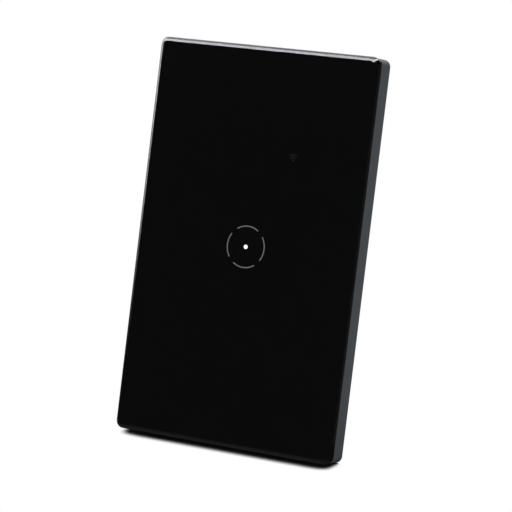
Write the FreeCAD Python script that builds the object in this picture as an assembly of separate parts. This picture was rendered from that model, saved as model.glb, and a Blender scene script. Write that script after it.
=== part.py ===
import FreeCAD, Part

import math
import os

from FreeCAD import Vector

# A single-gang smart touch switch for a wall box, in millimetres. The front faces -Y, Z is up, and X is to
# the right as seen from the front. The origin is the centre of the mounting plate's rear face, which lies on
# the wall plane y = 0. The housing reaches into the wall box on the +Y side.

# Outline of the glass, seen from the front
PANEL_W = 72.0
PANEL_H = 118.0
CORNER_R = 2.3

# Glass and the print behind it
GLASS_T = 3.0
BEVEL = 1.5
ARRIS = 0.25
FILM_T = 0.15
FILM_INSET = 0.1

# Touch ring, its dot and the radio symbol, as windows in the print
RING_R = 6.1
RING_STROKE = 0.57
RING_ARC_DEG = 64.0
RING_ARCS = 4
DOT_R = 0.78
WIFI_X = 12.0
WIFI_Z = 26.8
WIFI_INNER_R = 1.0
WIFI_OUTER_R = 1.75
WIFI_STROKE = 0.35
WIFI_ARC_DEG = 84.0
WIFI_DOT_R = 0.32

# Foam tape between the print and the frame
TAPE_T = 0.5
TAPE_BAND = 7.0

# Front frame
FRAME_INSET = 0.15
FRAME_WALL = 1.8
FRAME_INNER_R = 1.0
WEB_T = 2.0
FRAME_FRONT_EDGE = 0.25
FRAME_REAR_EDGE = 0.25
WALL_GAP = 0.3
RIB_T = 1.2
RIB_H = 2.4
BUTTRESS_PITCH = 20.0
BUTTRESS_PAIRS = 2
SNAP_W = 5.0
SNAP_T = 1.2
SNAP_LENGTH = 2.7
SNAP_NOSE = 0.25
SNAP_NOSE_LENGTH = 1.2
PRY_NOTCH_W = 9.0
PRY_NOTCH_DEPTH = 1.2

# Clearances
FIT = 0.1
RUN = 0.3

# Steel mounting plate
PLATE_T = 1.2
PLATE_SIDE_GAP = 2.05
PLATE_END_GAP = 4.65
PLATE_CORNER_R = 4.0
TAB_W = 9.0
TAB_HEIGHT = 3.6
TAB_BEND_R = 0.4
TAB_X = 20.0
LATCH_W = 6.0
LATCH_H = 1.3
BOX_SCREW_SPACING = 83.5
BOX_SLOT_R = 2.1
BOX_SLOT_LENGTH = 8.0

# Housing
BOX_W = 42.0
BOX_H = 70.0
BOX_WALL = 1.6
BOX_CORNER_R = 4.0
BOX_REAR_EDGE = 0.8
FLANGE_T = 1.3
FLANGE_SIDE_MARGIN = 2.0
FLANGE_END_LAP = 3.0
FLANGE_CORNER_R = 4.0
BOX_HEADROOM = 0.6
POST_REACH = 2.4
POST_INSET = 2.4
LEDGE_T = 1.4
LEDGE_REACH = 2.4
VENT_W = 1.6
VENT_LENGTH = 14.0
VENT_PITCH = 4.0
VENTS = 5
VENT_Z = 8.0

# Screws: a radius, a head radius and a head height for each kind
PLATE_SCREW_R = 1.25
PLATE_SCREW_HEAD_R = 2.0
PLATE_SCREW_HEAD_T = 1.1
PLATE_SCREW_Z = 28.0
BOARD_SCREW_R = 1.0
BOARD_SCREW_HEAD_R = 1.8
BOARD_SCREW_HEAD_T = 1.2
BOARD_SCREW_LENGTH = 5.0

# Inner cover
COVER_T = 1.2
COVER_LAP = 1.5
COVER_CORNER_R = 3.0
TONGUE_W = 8.0
TONGUE_T = 1.0
TONGUE_LENGTH = 3.2
TONGUE_Z = 22.0
WIFI_TUBE_WALL = 0.8
WIFI_TUBE_R = 2.0

# Touch board, with its light guide, spring, lamps and chips
TOUCH_BOARD_Y = 1.0
TOUCH_BOARD_T = 1.0
BOARD_GAP = 0.4
GUIDE_OUTER_R = 7.6
GUIDE_INNER_R = 4.4
GUIDE_FLANGE_R = 9.2
GUIDE_FLANGE_T = 0.8
GUIDE_WINDOW_CLEARANCE = 0.7
LED_L = 1.6
LED_W = 0.8
LED_T = 0.6
SPRING_R = 2.3
SPRING_WIRE_R = 0.3
SPRING_TURNS = 2.5
SPRING_BEND = 0.75
TOUCH_CHIP_L = 9.9
TOUCH_CHIP_W = 3.9
TOUCH_CHIP_T = 1.5
TOUCH_CHIP_SPAN = 6.0
TOUCH_CHIP_X = -12.5
TOUCH_CHIP_DROP = 13.0
CHIP_LEG_W = 0.4
CHIP_LEG_T = 0.25
CHIP_LEG_PITCH = 1.27
TOUCH_CHIP_LEGS = 8
WIFI_BOARD_W = 18.0
WIFI_BOARD_H = 20.0
WIFI_BOARD_T = 0.8
WIFI_SHIELD_W = 15.6
WIFI_SHIELD_H = 13.0
WIFI_SHIELD_T = 2.0
WIFI_SHIELD_WALL = 0.2
WIFI_SHIELD_EDGE = 1.2
WIFI_BOARD_MARGIN = 1.5

# Plug-in link between the boards
BOARD_SPACING = 7.0
HEADER_PINS = 6
HEADER_LENGTH = 15.24
HEADER_WIDTH = 2.5
HEADER_BASE_T = 2.5
HEADER_PIN = 0.64
HEADER_SOCKET_T = 3.9
HEADER_X = -7.5
HEADER_Z = 15.0
LEAD_STICKOUT = 1.0

# Power board
POWER_BOARD_T = 1.6
POWER_BOARD_MARGIN = 1.4
COLUMN_MARGIN = 1.1
ROW_GAP = 1.2
LEAD_W = 0.6
BOSS_REACH = 2.3
BOSS_X_INSET = 4.0
BOSS_Z = 4.5

# Relay
RELAY_L = 19.0
RELAY_W = 15.5
RELAY_H = 15.2
RELAY_STANDOFF = 0.3
RELAY_WALL = 0.8
RELAY_EDGE = 0.4
RELAY_BASE_T = 1.6
YOKE_T = 1.2
YOKE_W = 8.0
YOKE_INSET = 0.9
BOBBIN_TUBE_R = 2.6
BOBBIN_FLANGE = 4.9
BOBBIN_FLANGE_T = 0.8
COIL_R = 4.6
CORE_R = 2.0
POLE_R = 2.9
POLE_T = 0.6
PIVOT_HEIGHT = 12.0
ARMATURE_T = 1.0
ARMATURE_SWING_DEG = 4.0
BLADE_T = 0.25
BLADE_W = 4.5
CONTACT_R = 1.0
CONTACT_T = 0.5
CONTACT_INSET = 2.2
POST_T = 1.0
RELAY_PIN_W = 0.9

# Transformer
TRAFO_W = 12.8
TRAFO_D = 6.2
TRAFO_H = 12.4
TRAFO_STANDOFF = 2.6
TRAFO_YOKE = 2.2
TRAFO_LEG = 2.2
TRAFO_CENTRE_LEG = 3.4
TRAFO_BOBBIN_T = 0.6
TRAFO_BOBBIN_D = 11.0
TRAFO_TAPE_GAP = 0.15
TRAFO_PINS = 4
TRAFO_PIN_PITCH = 2.5

# Other parts of the power board
FILM_CAP_L = 13.0
FILM_CAP_W = 5.0
FILM_CAP_H = 11.0
FILM_CAP_EDGE = 0.4
ELCO_R = 4.0
ELCO_H = 12.5
ELCO_GAP = 0.9
ELCO_RIM = 0.5
VARISTOR_R = 4.4
VARISTOR_T = 3.6
VARISTOR_LIFT = 1.4
FUSE_R = 1.7
FUSE_CAP_R = 1.9
FUSE_CAP_L = 1.6
FUSE_L = 9.0
FUSE_LIFT = 0.6
RECTIFIER_L = 8.3
RECTIFIER_W = 6.3
RECTIFIER_T = 3.2
RECTIFIER_EDGE = 0.4
RECTIFIER_X = -6.0
RECTIFIER_Z = 6.5
POWER_CHIP_L = 4.9
POWER_CHIP_W = 3.9
POWER_CHIP_T = 1.5
POWER_CHIP_SPAN = 6.0
POWER_CHIP_LEGS = 4
POWER_CHIP_X = 8.0
POWER_CHIP_Z = 6.0

# Rising-clamp terminals, one pole for each wire
POLES = 3
POLE_PITCH = 11.0
POLE_GAP = 0.2
TERMINAL_END_WALL = 2.7
TERMINAL_FLOOR = 1.0
WIRE_BORE_R = 2.0
BAR_T = 1.0
BAR_W = 5.0
CLAMP_JAW_T = 1.2
CLAMP_TOP_T = 1.4
CLAMP_SIDE_T = 1.0
CLAMP_D = 6.0
CLAMP_TRAVEL = 3.0
CLAMP_SCREW_R = 1.5
CLAMP_SCREW_HEAD_R = 2.5
CLAMP_SCREW_HEAD_T = 1.6
CLAMP_SHOULDER_T = 1.2
CLAMP_RECESS = 1.4
DRIVER_SLOT_W = 0.7
DRIVER_SLOT_DEPTH = 0.8
THREAD_FIT = 0.08
TAIL_W = 1.2

# Layers in front of the wall plane, from the wall forward
PLATE_FRONT_Y = -PLATE_T
FLANGE_FRONT_Y = PLATE_FRONT_Y - FLANGE_T
COVER_FRONT_Y = FLANGE_FRONT_Y - COVER_T
WEB_REAR_Y = COVER_FRONT_Y - RUN
WEB_FRONT_Y = WEB_REAR_Y - WEB_T
TAPE_FRONT_Y = WEB_FRONT_Y - TAPE_T
FILM_FRONT_Y = TAPE_FRONT_Y - FILM_T
GLASS_FRONT_Y = FILM_FRONT_Y - GLASS_T
FRAME_REAR_Y = -WALL_GAP

# Layers behind the wall plane
TOUCH_BOARD_REAR_Y = TOUCH_BOARD_Y + TOUCH_BOARD_T
POWER_BOARD_Y = TOUCH_BOARD_REAR_Y + BOARD_SPACING
POWER_BOARD_REAR_Y = POWER_BOARD_Y + POWER_BOARD_T

# One pole of the terminals, from the power board rearward. At rest the clamp is fully open
JAW_Y = POWER_BOARD_REAR_Y + TERMINAL_FLOOR + RUN
WIRE_Y = JAW_Y + CLAMP_JAW_T + WIRE_BORE_R
BAR_Y = WIRE_Y + WIRE_BORE_R + FIT
CLAMP_TOP_Y = BAR_Y + BAR_T + RUN
CLAMP_END_Y = CLAMP_TOP_Y + CLAMP_TOP_T
SHOULDER_Y = CLAMP_END_Y + CLAMP_TRAVEL + RUN
SCREW_SEAT_Y = SHOULDER_Y + CLAMP_SHOULDER_T
TERMINAL_STACK_Y = SCREW_SEAT_Y + CLAMP_SCREW_HEAD_T + CLAMP_RECESS

# The housing is as deep as the taller of the relay and the terminals
BOX_REAR_Y = max(POWER_BOARD_REAR_Y + RELAY_H + BOX_HEADROOM + BOX_WALL, TERMINAL_STACK_Y)
BOX_FLOOR_Y = BOX_REAR_Y - BOX_WALL

# Outlines that follow from the panel and the housing
FRAME_W = PANEL_W - 2 * FRAME_INSET
FRAME_H = PANEL_H - 2 * FRAME_INSET
FRAME_CORNER_R = CORNER_R - FRAME_INSET
FRAME_INNER_W = FRAME_W - 2 * FRAME_WALL
FRAME_INNER_H = FRAME_H - 2 * FRAME_WALL
PLATE_W = FRAME_INNER_W - 2 * PLATE_SIDE_GAP
PLATE_H = FRAME_INNER_H - 2 * PLATE_END_GAP
FLANGE_W = PLATE_W - 2 * FLANGE_SIDE_MARGIN
FLANGE_H = BOX_H + 2 * FLANGE_END_LAP
INNER_W = BOX_W - 2 * BOX_WALL
INNER_H = BOX_H - 2 * BOX_WALL
INNER_R = BOX_CORNER_R - BOX_WALL
COVER_W = BOX_W + 2 * COVER_LAP
COVER_H = BOX_H + 2 * COVER_LAP
TOUCH_BOARD_W = INNER_W - 2 * BOARD_GAP
TOUCH_BOARD_H = INNER_H - 2 * BOARD_GAP
POWER_BOARD_W = INNER_W - 2 * POWER_BOARD_MARGIN
POWER_BOARD_H = INNER_H - 2 * POWER_BOARD_MARGIN
POST_X = INNER_W / 2 - POST_INSET
POST_Z = INNER_H / 2 - POST_INSET
BOSS_X = INNER_W / 2 - BOSS_X_INSET
HEADER_PITCH = HEADER_LENGTH / HEADER_PINS
PLATE_SCREW_X = COVER_W / 2 + RUN + PLATE_SCREW_HEAD_R
TOUCH_CHIP_Z = TOUCH_BOARD_H / 2 - TOUCH_CHIP_DROP
GUIDE_HOLE_R = GUIDE_OUTER_R + RUN
GUIDE_FRONT_Y = TAPE_FRONT_Y + RUN
LED_FRONT_Y = TOUCH_BOARD_Y - LED_T

# Terminals stand flush with the housing's bottom and rear faces
TERMINAL_Z0 = -BOX_H / 2
CLAMP_Z0 = TERMINAL_Z0 + TERMINAL_END_WALL + RUN
CLAMP_Z1 = CLAMP_Z0 + CLAMP_D
TERMINAL_Z1 = CLAMP_Z1 + RUN + TERMINAL_END_WALL
POLE_Z = (CLAMP_Z0 + CLAMP_Z1) / 2
BAR_Z1 = TERMINAL_Z1 + BAR_T + FIT
POLE_X = [(n - (POLES - 1) / 2) * POLE_PITCH for n in range(POLES)]
TERMINAL_W = POLE_PITCH - POLE_GAP
WINDOW_W = POLES * POLE_PITCH + 2 * FIT

# Places on the power board: the mains side stands above the terminals, the supply hangs from the top edge
ROW_Z = BAR_Z1 + ROW_GAP
TOP_Z = POWER_BOARD_H / 2 - COLUMN_MARGIN
LEFT_X = -POWER_BOARD_W / 2 + COLUMN_MARGIN
RIGHT_X = POWER_BOARD_W / 2 - COLUMN_MARGIN
RELAY_X = LEFT_X + RELAY_W / 2
RELAY_Z = ROW_Z + RELAY_L / 2
FUSE_X = RIGHT_X - FUSE_CAP_R
FUSE_Z = ROW_Z + FUSE_L / 2
VARISTOR_X = FUSE_X - FUSE_CAP_R - ROW_GAP - VARISTOR_T / 2
VARISTOR_Z = ROW_Z + VARISTOR_R
FILM_CAP_X = VARISTOR_X - VARISTOR_T / 2 - ROW_GAP - FILM_CAP_W / 2
FILM_CAP_Z = ROW_Z + FILM_CAP_L / 2
TRAFO_X = RIGHT_X - TRAFO_W / 2
TRAFO_Z = TOP_Z - TRAFO_BOBBIN_D / 2
ELCO_X0 = POST_REACH - POST_X + FIT + ELCO_R
ELCO_X = [ELCO_X0, ELCO_X0 + 2 * ELCO_R + ELCO_GAP]
ELCO_Z = TOP_Z - ELCO_R

# Relay, seen with its height along +Y and its length along Z
RELAY_SEAT_Y = POWER_BOARD_REAR_Y + RELAY_STANDOFF
RELAY_TOP_Y = POWER_BOARD_REAR_Y + RELAY_H
RELAY_Z0 = RELAY_Z - RELAY_L / 2 + RELAY_WALL
RELAY_Z1 = RELAY_Z + RELAY_L / 2 - RELAY_WALL
RELAY_FLOOR_Y = RELAY_SEAT_Y + RELAY_BASE_T
YOKE_FLOOR_Y = RELAY_FLOOR_Y + YOKE_T
PIVOT_Y = POWER_BOARD_REAR_Y + PIVOT_HEIGHT
PIVOT_Z = RELAY_Z0 + YOKE_INSET + YOKE_T / 2
COIL_Z = PIVOT_Z + YOKE_T / 2 + 2 * FIT + BOBBIN_FLANGE
ARMATURE_Y = PIVOT_Y + YOKE_T / 2 + FIT
SWING = math.radians(ARMATURE_SWING_DEG)
POLE_TOP_Y = ARMATURE_Y - math.sin(SWING) * (COIL_Z + POLE_R - PIVOT_Z) - FIT
BLADE_Y = ARMATURE_Y + ARMATURE_T
CONTACT_Z = RELAY_Z1 - CONTACT_INSET
CONTACT_Y = BLADE_Y - CONTACT_T
FIXED_CONTACT_Y = CONTACT_Y - math.sin(SWING) * (CONTACT_Z + CONTACT_R - PIVOT_Z) - FIT

SIDES = (-1, 1)


def vec(x, y, z):
    """A point of the part."""
    return Vector(x, y, z)


def block(x0, x1, y0, y1, z0, z1):
    """A box between two corners."""
    return Part.makeBox(x1 - x0, y1 - y0, z1 - z0, vec(x0, y0, z0))


def rod(radius, y0, y1, x=0.0, z=0.0):
    """A cylinder along Y."""
    return Part.makeCylinder(radius, y1 - y0, vec(x, y0, z), vec(0, 1, 0))


def rod_x(radius, x0, x1, y, z):
    """A cylinder along X."""
    return Part.makeCylinder(radius, x1 - x0, vec(x0, y, z), vec(1, 0, 0))


def rod_z(radius, z0, z1, x, y):
    """A cylinder along Z."""
    return Part.makeCylinder(radius, z1 - z0, vec(x, y, z0), vec(0, 0, 1))


def extruded(edges, direction):
    """The solid that a closed outline sweeps along a direction."""
    return Part.Face(Part.Wire(edges)).extrude(direction)


def polygon(points):
    """The edges of a closed outline through points."""
    return Part.makePolygon(points + points[:1]).Edges


def rounded(width, height, radius, y0, y1, x=0.0, z=0.0):
    """A plate with rounded corners, flat to the wall."""
    solid = block(x - width / 2, x + width / 2, y0, y1, z - height / 2, z + height / 2)
    corners = [e for e in solid.Edges if abs(e.Vertexes[0].Y - e.Vertexes[1].Y) > 1e-6]
    return solid.makeFillet(radius, corners)


def slot(radius, length, y0, y1, x=0.0, z=0.0):
    """An upright slot with round ends, cut along Y."""
    reach = length / 2 - radius
    middle = block(x - radius, x + radius, y0, y1, z - reach, z + reach)
    return middle.fuse([rod(radius, y0, y1, x, z + side * reach) for side in SIDES])


def edges_at(solid, y):
    """The edges that lie in the plane at y."""
    return [e for e in solid.Edges if all(abs(v.Y - y) < 1e-6 for v in e.Vertexes)]


def cut(solid, tools):
    """A solid less its tools, as one clean solid."""
    return solid.cut(tools).removeSplitter()


def joined(solid, others):
    """Touching solids joined into one."""
    return solid.fuse(others).removeSplitter()


def group(solids):
    """Separate solids that share one node."""
    return Part.makeCompound(solids)


def arc_window(radius, stroke, middle_deg, span_deg, x, z, y0, y1):
    """A curved slot with round ends about (x, z). span_deg is measured between the ends' centres."""
    half = math.radians(span_deg) / 2
    middle = math.radians(middle_deg)

    def at(r, angle):
        return vec(x + r * math.cos(angle), y0, z + r * math.sin(angle))

    def end(angle, sign):
        centre = at(radius, angle)
        tip = vec(-math.sin(angle), 0, math.cos(angle)) * (sign * stroke / 2)
        return centre + tip

    inner, outer = radius - stroke / 2, radius + stroke / 2
    a, b = middle - half, middle + half
    edges = [
        Part.Arc(at(outer, a), at(outer, middle), at(outer, b)).toShape(),
        Part.Arc(at(outer, b), end(b, 1), at(inner, b)).toShape(),
        Part.Arc(at(inner, b), at(inner, middle), at(inner, a)).toShape(),
        Part.Arc(at(inner, a), end(a, -1), at(outer, a)).toShape(),
    ]
    return extruded(edges, vec(0, y1 - y0, 0))


def bent_arc(start, direction, end):
    """The arc that leaves start along direction and reaches end."""
    chord = end - start
    along = Vector(chord).normalize()
    turn = math.acos(max(-1.0, min(1.0, direction.dot(along))))
    side = (direction - along * direction.dot(along)).normalize()
    middle = (start + end) * 0.5 + side * (chord.Length / 2 * math.tan(turn / 2))
    return Part.Arc(start, middle, end).toShape()


def biarc(start, start_dir, end, end_dir):
    """Two arcs that leave start along start_dir, meet in one direction and reach end along end_dir."""
    chord = end - start
    both = start_dir + end_dir
    spread = 2 * (1 - start_dir.dot(end_dir))
    slope = chord.dot(both)
    reach = (math.sqrt(slope**2 + spread * chord.dot(chord)) - slope) / spread
    joint = (start + end + (start_dir - end_dir) * reach) * 0.5
    back = bent_arc(end, end_dir * -1, joint)
    return [bent_arc(start, start_dir, joint), Part.Arc(joint, back.valueAt(middle_of(back)), end).toShape()]


def middle_of(edge):
    """The parameter halfway along an edge."""
    return (edge.FirstParameter + edge.LastParameter) / 2


def glass_panel():
    """Tempered glass, bevelled round the front edge and lightly ground behind."""
    glass = rounded(PANEL_W, PANEL_H, CORNER_R, GLASS_FRONT_Y, FILM_FRONT_Y)
    glass = glass.makeChamfer(BEVEL, edges_at(glass, GLASS_FRONT_Y))
    return glass.makeChamfer(ARRIS, edges_at(glass, FILM_FRONT_Y))


def printed_film():
    """Black print over the whole back of the glass, open at the touch ring, its dot and the radio symbol."""
    film = rounded(
        PANEL_W - 2 * (ARRIS + FILM_INSET),
        PANEL_H - 2 * (ARRIS + FILM_INSET),
        CORNER_R - ARRIS - FILM_INSET,
        FILM_FRONT_Y,
        TAPE_FRONT_Y,
    )
    span = FILM_FRONT_Y, TAPE_FRONT_Y
    step = 360 / RING_ARCS
    windows = [
        arc_window(RING_R, RING_STROKE, step * n, RING_ARC_DEG, 0, 0, *span) for n in range(RING_ARCS)
    ]
    windows += [
        arc_window(radius, WIFI_STROKE, 90, WIFI_ARC_DEG, WIFI_X, WIFI_Z, *span)
        for radius in (WIFI_INNER_R, WIFI_OUTER_R)
    ]
    windows += [rod(DOT_R, *span), rod(WIFI_DOT_R, *span, WIFI_X, WIFI_Z)]
    return film.cut(windows)


def glass_tape():
    """A band of foam tape in the frame's pocket."""
    width, height = FRAME_INNER_W - 2 * FIT, FRAME_INNER_H - 2 * FIT
    band = rounded(width, height, FRAME_INNER_R, TAPE_FRONT_Y, WEB_FRONT_Y)
    opening = rounded(
        width - 2 * TAPE_BAND, height - 2 * TAPE_BAND, CORNER_R, TAPE_FRONT_Y, WEB_FRONT_Y
    )
    return cut(band, [opening])


def snap_arm(x, side):
    """An arm with its nose beside the plate's tab, as thick moulded arms have them."""
    tab_face = PLATE_H / 2 + TAB_BEND_R + PLATE_T
    inner = tab_face + SNAP_NOSE + FIT
    outer = inner + SNAP_T
    tip = WEB_REAR_Y + SNAP_LENGTH
    nose = tip - SNAP_NOSE_LENGTH
    outline = [
        (inner, WEB_REAR_Y),
        (inner, nose),
        (inner - SNAP_NOSE, nose + SNAP_NOSE_LENGTH / 2),
        (inner, tip),
        (outer, tip),
        (outer, WEB_REAR_Y),
    ]
    points = [vec(x - SNAP_W / 2, y, side * z) for z, y in outline]
    return extruded(polygon(points), vec(SNAP_W, 0, 0))


def frame_ribs():
    """Stiffening ribs behind the web, clear of the plate and of the heads of the box screws."""
    rear = WEB_REAR_Y + RIB_H
    wall_x = FRAME_INNER_W / 2
    rib_x = FLANGE_W / 2 + 2 * RUN
    rib_z = FLANGE_H / 2
    ribs = []
    for side in SIDES:
        x0, x1 = sorted((side * rib_x, side * (rib_x + RIB_T)))
        ribs.append(block(x0, x1, WEB_REAR_Y, rear, -rib_z, rib_z))
        x0, x1 = sorted((side * (rib_x + RIB_T), side * wall_x))
        for n in range(-BUTTRESS_PAIRS, BUTTRESS_PAIRS):
            z = (n + 0.5) * BUTTRESS_PITCH
            ribs.append(block(x0, x1, WEB_REAR_Y, rear, z - RIB_T / 2, z + RIB_T / 2))
        z0, z1 = sorted((side * PLATE_H / 2, side * (PLATE_H / 2 - RIB_T)))
        reach = TAB_X - TAB_W / 2 - RUN
        ribs.append(block(-reach, reach, WEB_REAR_Y, rear, z0, z1))
    return ribs


def front_frame():
    """A shell with a web behind the glass, a rim round the tape, side walls, ribs and four snap arms."""
    frame = rounded(FRAME_W, FRAME_H, FRAME_CORNER_R, TAPE_FRONT_Y, FRAME_REAR_Y)
    frame = frame.makeChamfer(FRAME_FRONT_EDGE, edges_at(frame, TAPE_FRONT_Y))
    frame = frame.makeChamfer(FRAME_REAR_EDGE, edges_at(frame, FRAME_REAR_Y))
    pocket = rounded(FRAME_INNER_W, FRAME_INNER_H, FRAME_INNER_R, TAPE_FRONT_Y, WEB_FRONT_Y)
    hollow = rounded(FRAME_INNER_W, FRAME_INNER_H, FRAME_INNER_R, WEB_REAR_Y, FRAME_REAR_Y)
    window = rod(GUIDE_OUTER_R + GUIDE_WINDOW_CLEARANCE, WEB_FRONT_Y, WEB_REAR_Y)
    wifi_window = rod(WIFI_TUBE_R, WEB_FRONT_Y, WEB_REAR_Y, WIFI_X, WIFI_Z + WIFI_INNER_R)
    notch = block(
        -PRY_NOTCH_W / 2,
        PRY_NOTCH_W / 2,
        FRAME_REAR_Y - PRY_NOTCH_DEPTH,
        FRAME_REAR_Y,
        -FRAME_H / 2,
        -FRAME_INNER_H / 2,
    )
    frame = frame.cut([pocket, hollow, window, wifi_window, notch])
    arms = [snap_arm(x_side * TAB_X, side) for x_side in SIDES for side in SIDES]
    return joined(frame, arms + frame_ribs())


def plate_tab(x, side):
    """A tab bent forward off the plate's end, with a window for the snap nose."""
    face = PLATE_H / 2 + TAB_BEND_R + PLATE_T
    inner = face - PLATE_T
    bend = TAB_BEND_R + PLATE_T
    lean = math.sqrt(0.5)

    def at(z, y):
        return vec(x - TAB_W / 2, y, side * z)

    root = PLATE_H / 2 - PLATE_T
    edges = [
        Part.makeLine(at(root, 0), at(face - bend, 0)),
        Part.Arc(
            at(face - bend, 0), at(face - bend + bend * lean, -bend + bend * lean), at(face, -bend)
        ).toShape(),
        Part.makeLine(at(face, -bend), at(face, -TAB_HEIGHT)),
        Part.makeLine(at(face, -TAB_HEIGHT), at(inner, -TAB_HEIGHT)),
        Part.makeLine(at(inner, -TAB_HEIGHT), at(inner, -bend)),
        Part.Arc(
            at(inner, -bend),
            at(inner - TAB_BEND_R + TAB_BEND_R * lean, -bend + TAB_BEND_R * lean),
            at(inner - TAB_BEND_R, -PLATE_T),
        ).toShape(),
        Part.makeLine(at(inner - TAB_BEND_R, -PLATE_T), at(root, -PLATE_T)),
        Part.makeLine(at(root, -PLATE_T), at(root, 0)),
    ]
    tab = extruded(edges, vec(TAB_W, 0, 0))
    z0, z1 = sorted((side * inner, side * face))
    middle = WEB_REAR_Y + SNAP_LENGTH - SNAP_NOSE_LENGTH / 2
    window = block(
        x - LATCH_W / 2, x + LATCH_W / 2, middle - LATCH_H / 2, middle + LATCH_H / 2, z0, z1
    )
    return tab.cut([window])


def plate_screw_places():
    """Where the screws hold the housing's flange on the plate."""
    return [(x_side * PLATE_SCREW_X, z_side * PLATE_SCREW_Z) for x_side in SIDES for z_side in SIDES]


def mounting_plate():
    """Steel plate with a window for the housing, two upright slots for the box screws and four tabs."""
    plate = rounded(PLATE_W, PLATE_H, PLATE_CORNER_R, PLATE_FRONT_Y, 0)
    window = rounded(BOX_W + 2 * RUN, BOX_H + 2 * RUN, BOX_CORNER_R + RUN, PLATE_FRONT_Y, 0)
    slots = [
        slot(BOX_SLOT_R, BOX_SLOT_LENGTH, PLATE_FRONT_Y, 0, 0, side * BOX_SCREW_SPACING / 2)
        for side in SIDES
    ]
    taps = [rod(PLATE_SCREW_R + THREAD_FIT, PLATE_FRONT_Y, 0, x, z) for x, z in plate_screw_places()]
    tabs = [plate_tab(x_side * TAB_X, side) for x_side in SIDES for side in SIDES]
    return joined(plate.cut([window, *slots, *taps]), tabs)


def screw(radius, head_radius, head_t, length, x, z, seat_y):
    """A screw driven along +Y, its head in front of the seat."""
    shank = rod(radius, seat_y, seat_y + length, x, z)
    return joined(shank, [rod(head_radius, seat_y - head_t, seat_y, x, z)])


def plate_screws():
    """Four screws through the flange into the plate, short of its rear face."""
    length = -FLANGE_FRONT_Y - FIT
    return group(
        [
            screw(
                PLATE_SCREW_R, PLATE_SCREW_HEAD_R, PLATE_SCREW_HEAD_T, length, x, z, FLANGE_FRONT_Y
            )
            for x, z in plate_screw_places()
        ]
    )


def post_places():
    """Where the touch board's posts stand, in the housing's corners."""
    return [(x_side * POST_X, z_side * POST_Z) for x_side in SIDES for z_side in SIDES]


def board_screw_places():
    """The two opposite posts that take a screw."""
    return [(-POST_X, POST_Z), (POST_X, -POST_Z)]


def boss_places():
    """Where the power board's bosses stand, beside the side walls."""
    return [(side * BOSS_X, BOSS_Z) for side in SIDES]


def corner_posts():
    """Square posts for the touch board in the corners. The lower ones end above the terminals."""
    posts = []
    for x, z in post_places():
        end = BOX_FLOOR_Y if z > 0 else POWER_BOARD_REAR_Y - RUN
        x0, x1 = sorted((x - math.copysign(POST_REACH, x), math.copysign(INNER_W / 2, x)))
        z0, z1 = sorted((z - math.copysign(POST_REACH, z), math.copysign(INNER_H / 2, z)))
        posts.append(block(x0, x1, TOUCH_BOARD_REAR_Y, end, z0, z1))
    return posts


def power_ledges():
    """Bosses and ribs under the power board's edges, on the floor and the side walls."""
    ledges = []
    for x, z in boss_places():
        x0, x1 = sorted((x - math.copysign(BOSS_REACH, x), math.copysign(INNER_W / 2, x)))
        ledges.append(block(x0, x1, POWER_BOARD_REAR_Y, BOX_FLOOR_Y, z - BOSS_REACH, z + BOSS_REACH))
    for side in SIDES:
        x0, x1 = sorted((side * INNER_W / 2, side * (INNER_W / 2 - LEDGE_REACH)))
        z = TERMINAL_Z1 + RUN
        ledges.append(block(x0, x1, POWER_BOARD_REAR_Y, BOX_FLOOR_Y, z, z + LEDGE_T))
    return ledges


def base_housing():
    """The rear housing: a deep tray with a front flange, open at its lower rear edge for the terminals."""
    tray = rounded(BOX_W, BOX_H, BOX_CORNER_R, FLANGE_FRONT_Y, BOX_REAR_Y)
    tray = tray.makeChamfer(BOX_REAR_EDGE, edges_at(tray, BOX_REAR_Y))
    flange = rounded(FLANGE_W, FLANGE_H, FLANGE_CORNER_R, FLANGE_FRONT_Y, PLATE_FRONT_Y)
    hollow = rounded(INNER_W, INNER_H, INNER_R, FLANGE_FRONT_Y, BOX_FLOOR_Y)
    posts = corner_posts() + power_ledges()
    housing = joined(tray.fuse(flange).cut(hollow), posts)
    window = block(
        -WINDOW_W / 2,
        WINDOW_W / 2,
        POWER_BOARD_REAR_Y - FIT,
        BOX_REAR_Y,
        TERMINAL_Z0,
        TERMINAL_Z1 + FIT,
    )
    vents = [
        block(x - VENT_W / 2, x + VENT_W / 2, BOX_FLOOR_Y, BOX_REAR_Y, VENT_Z, VENT_Z + VENT_LENGTH)
        for x in ((n - (VENTS - 1) / 2) * VENT_PITCH for n in range(VENTS))
    ]
    pilot_r = BOARD_SCREW_R + THREAD_FIT
    pilots = [
        rod(pilot_r, TOUCH_BOARD_REAR_Y, TOUCH_BOARD_Y + BOARD_SCREW_LENGTH + RUN, x, z)
        for x, z in board_screw_places()
    ]
    pilots += [
        rod(pilot_r, POWER_BOARD_REAR_Y, POWER_BOARD_Y + BOARD_SCREW_LENGTH + RUN, x, z)
        for x, z in boss_places()
    ]
    clearances = [
        rod(PLATE_SCREW_R + FIT, FLANGE_FRONT_Y, PLATE_FRONT_Y, x, z) for x, z in plate_screw_places()
    ]
    return cut(housing, [window, *vents, *pilots, *clearances])


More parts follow.
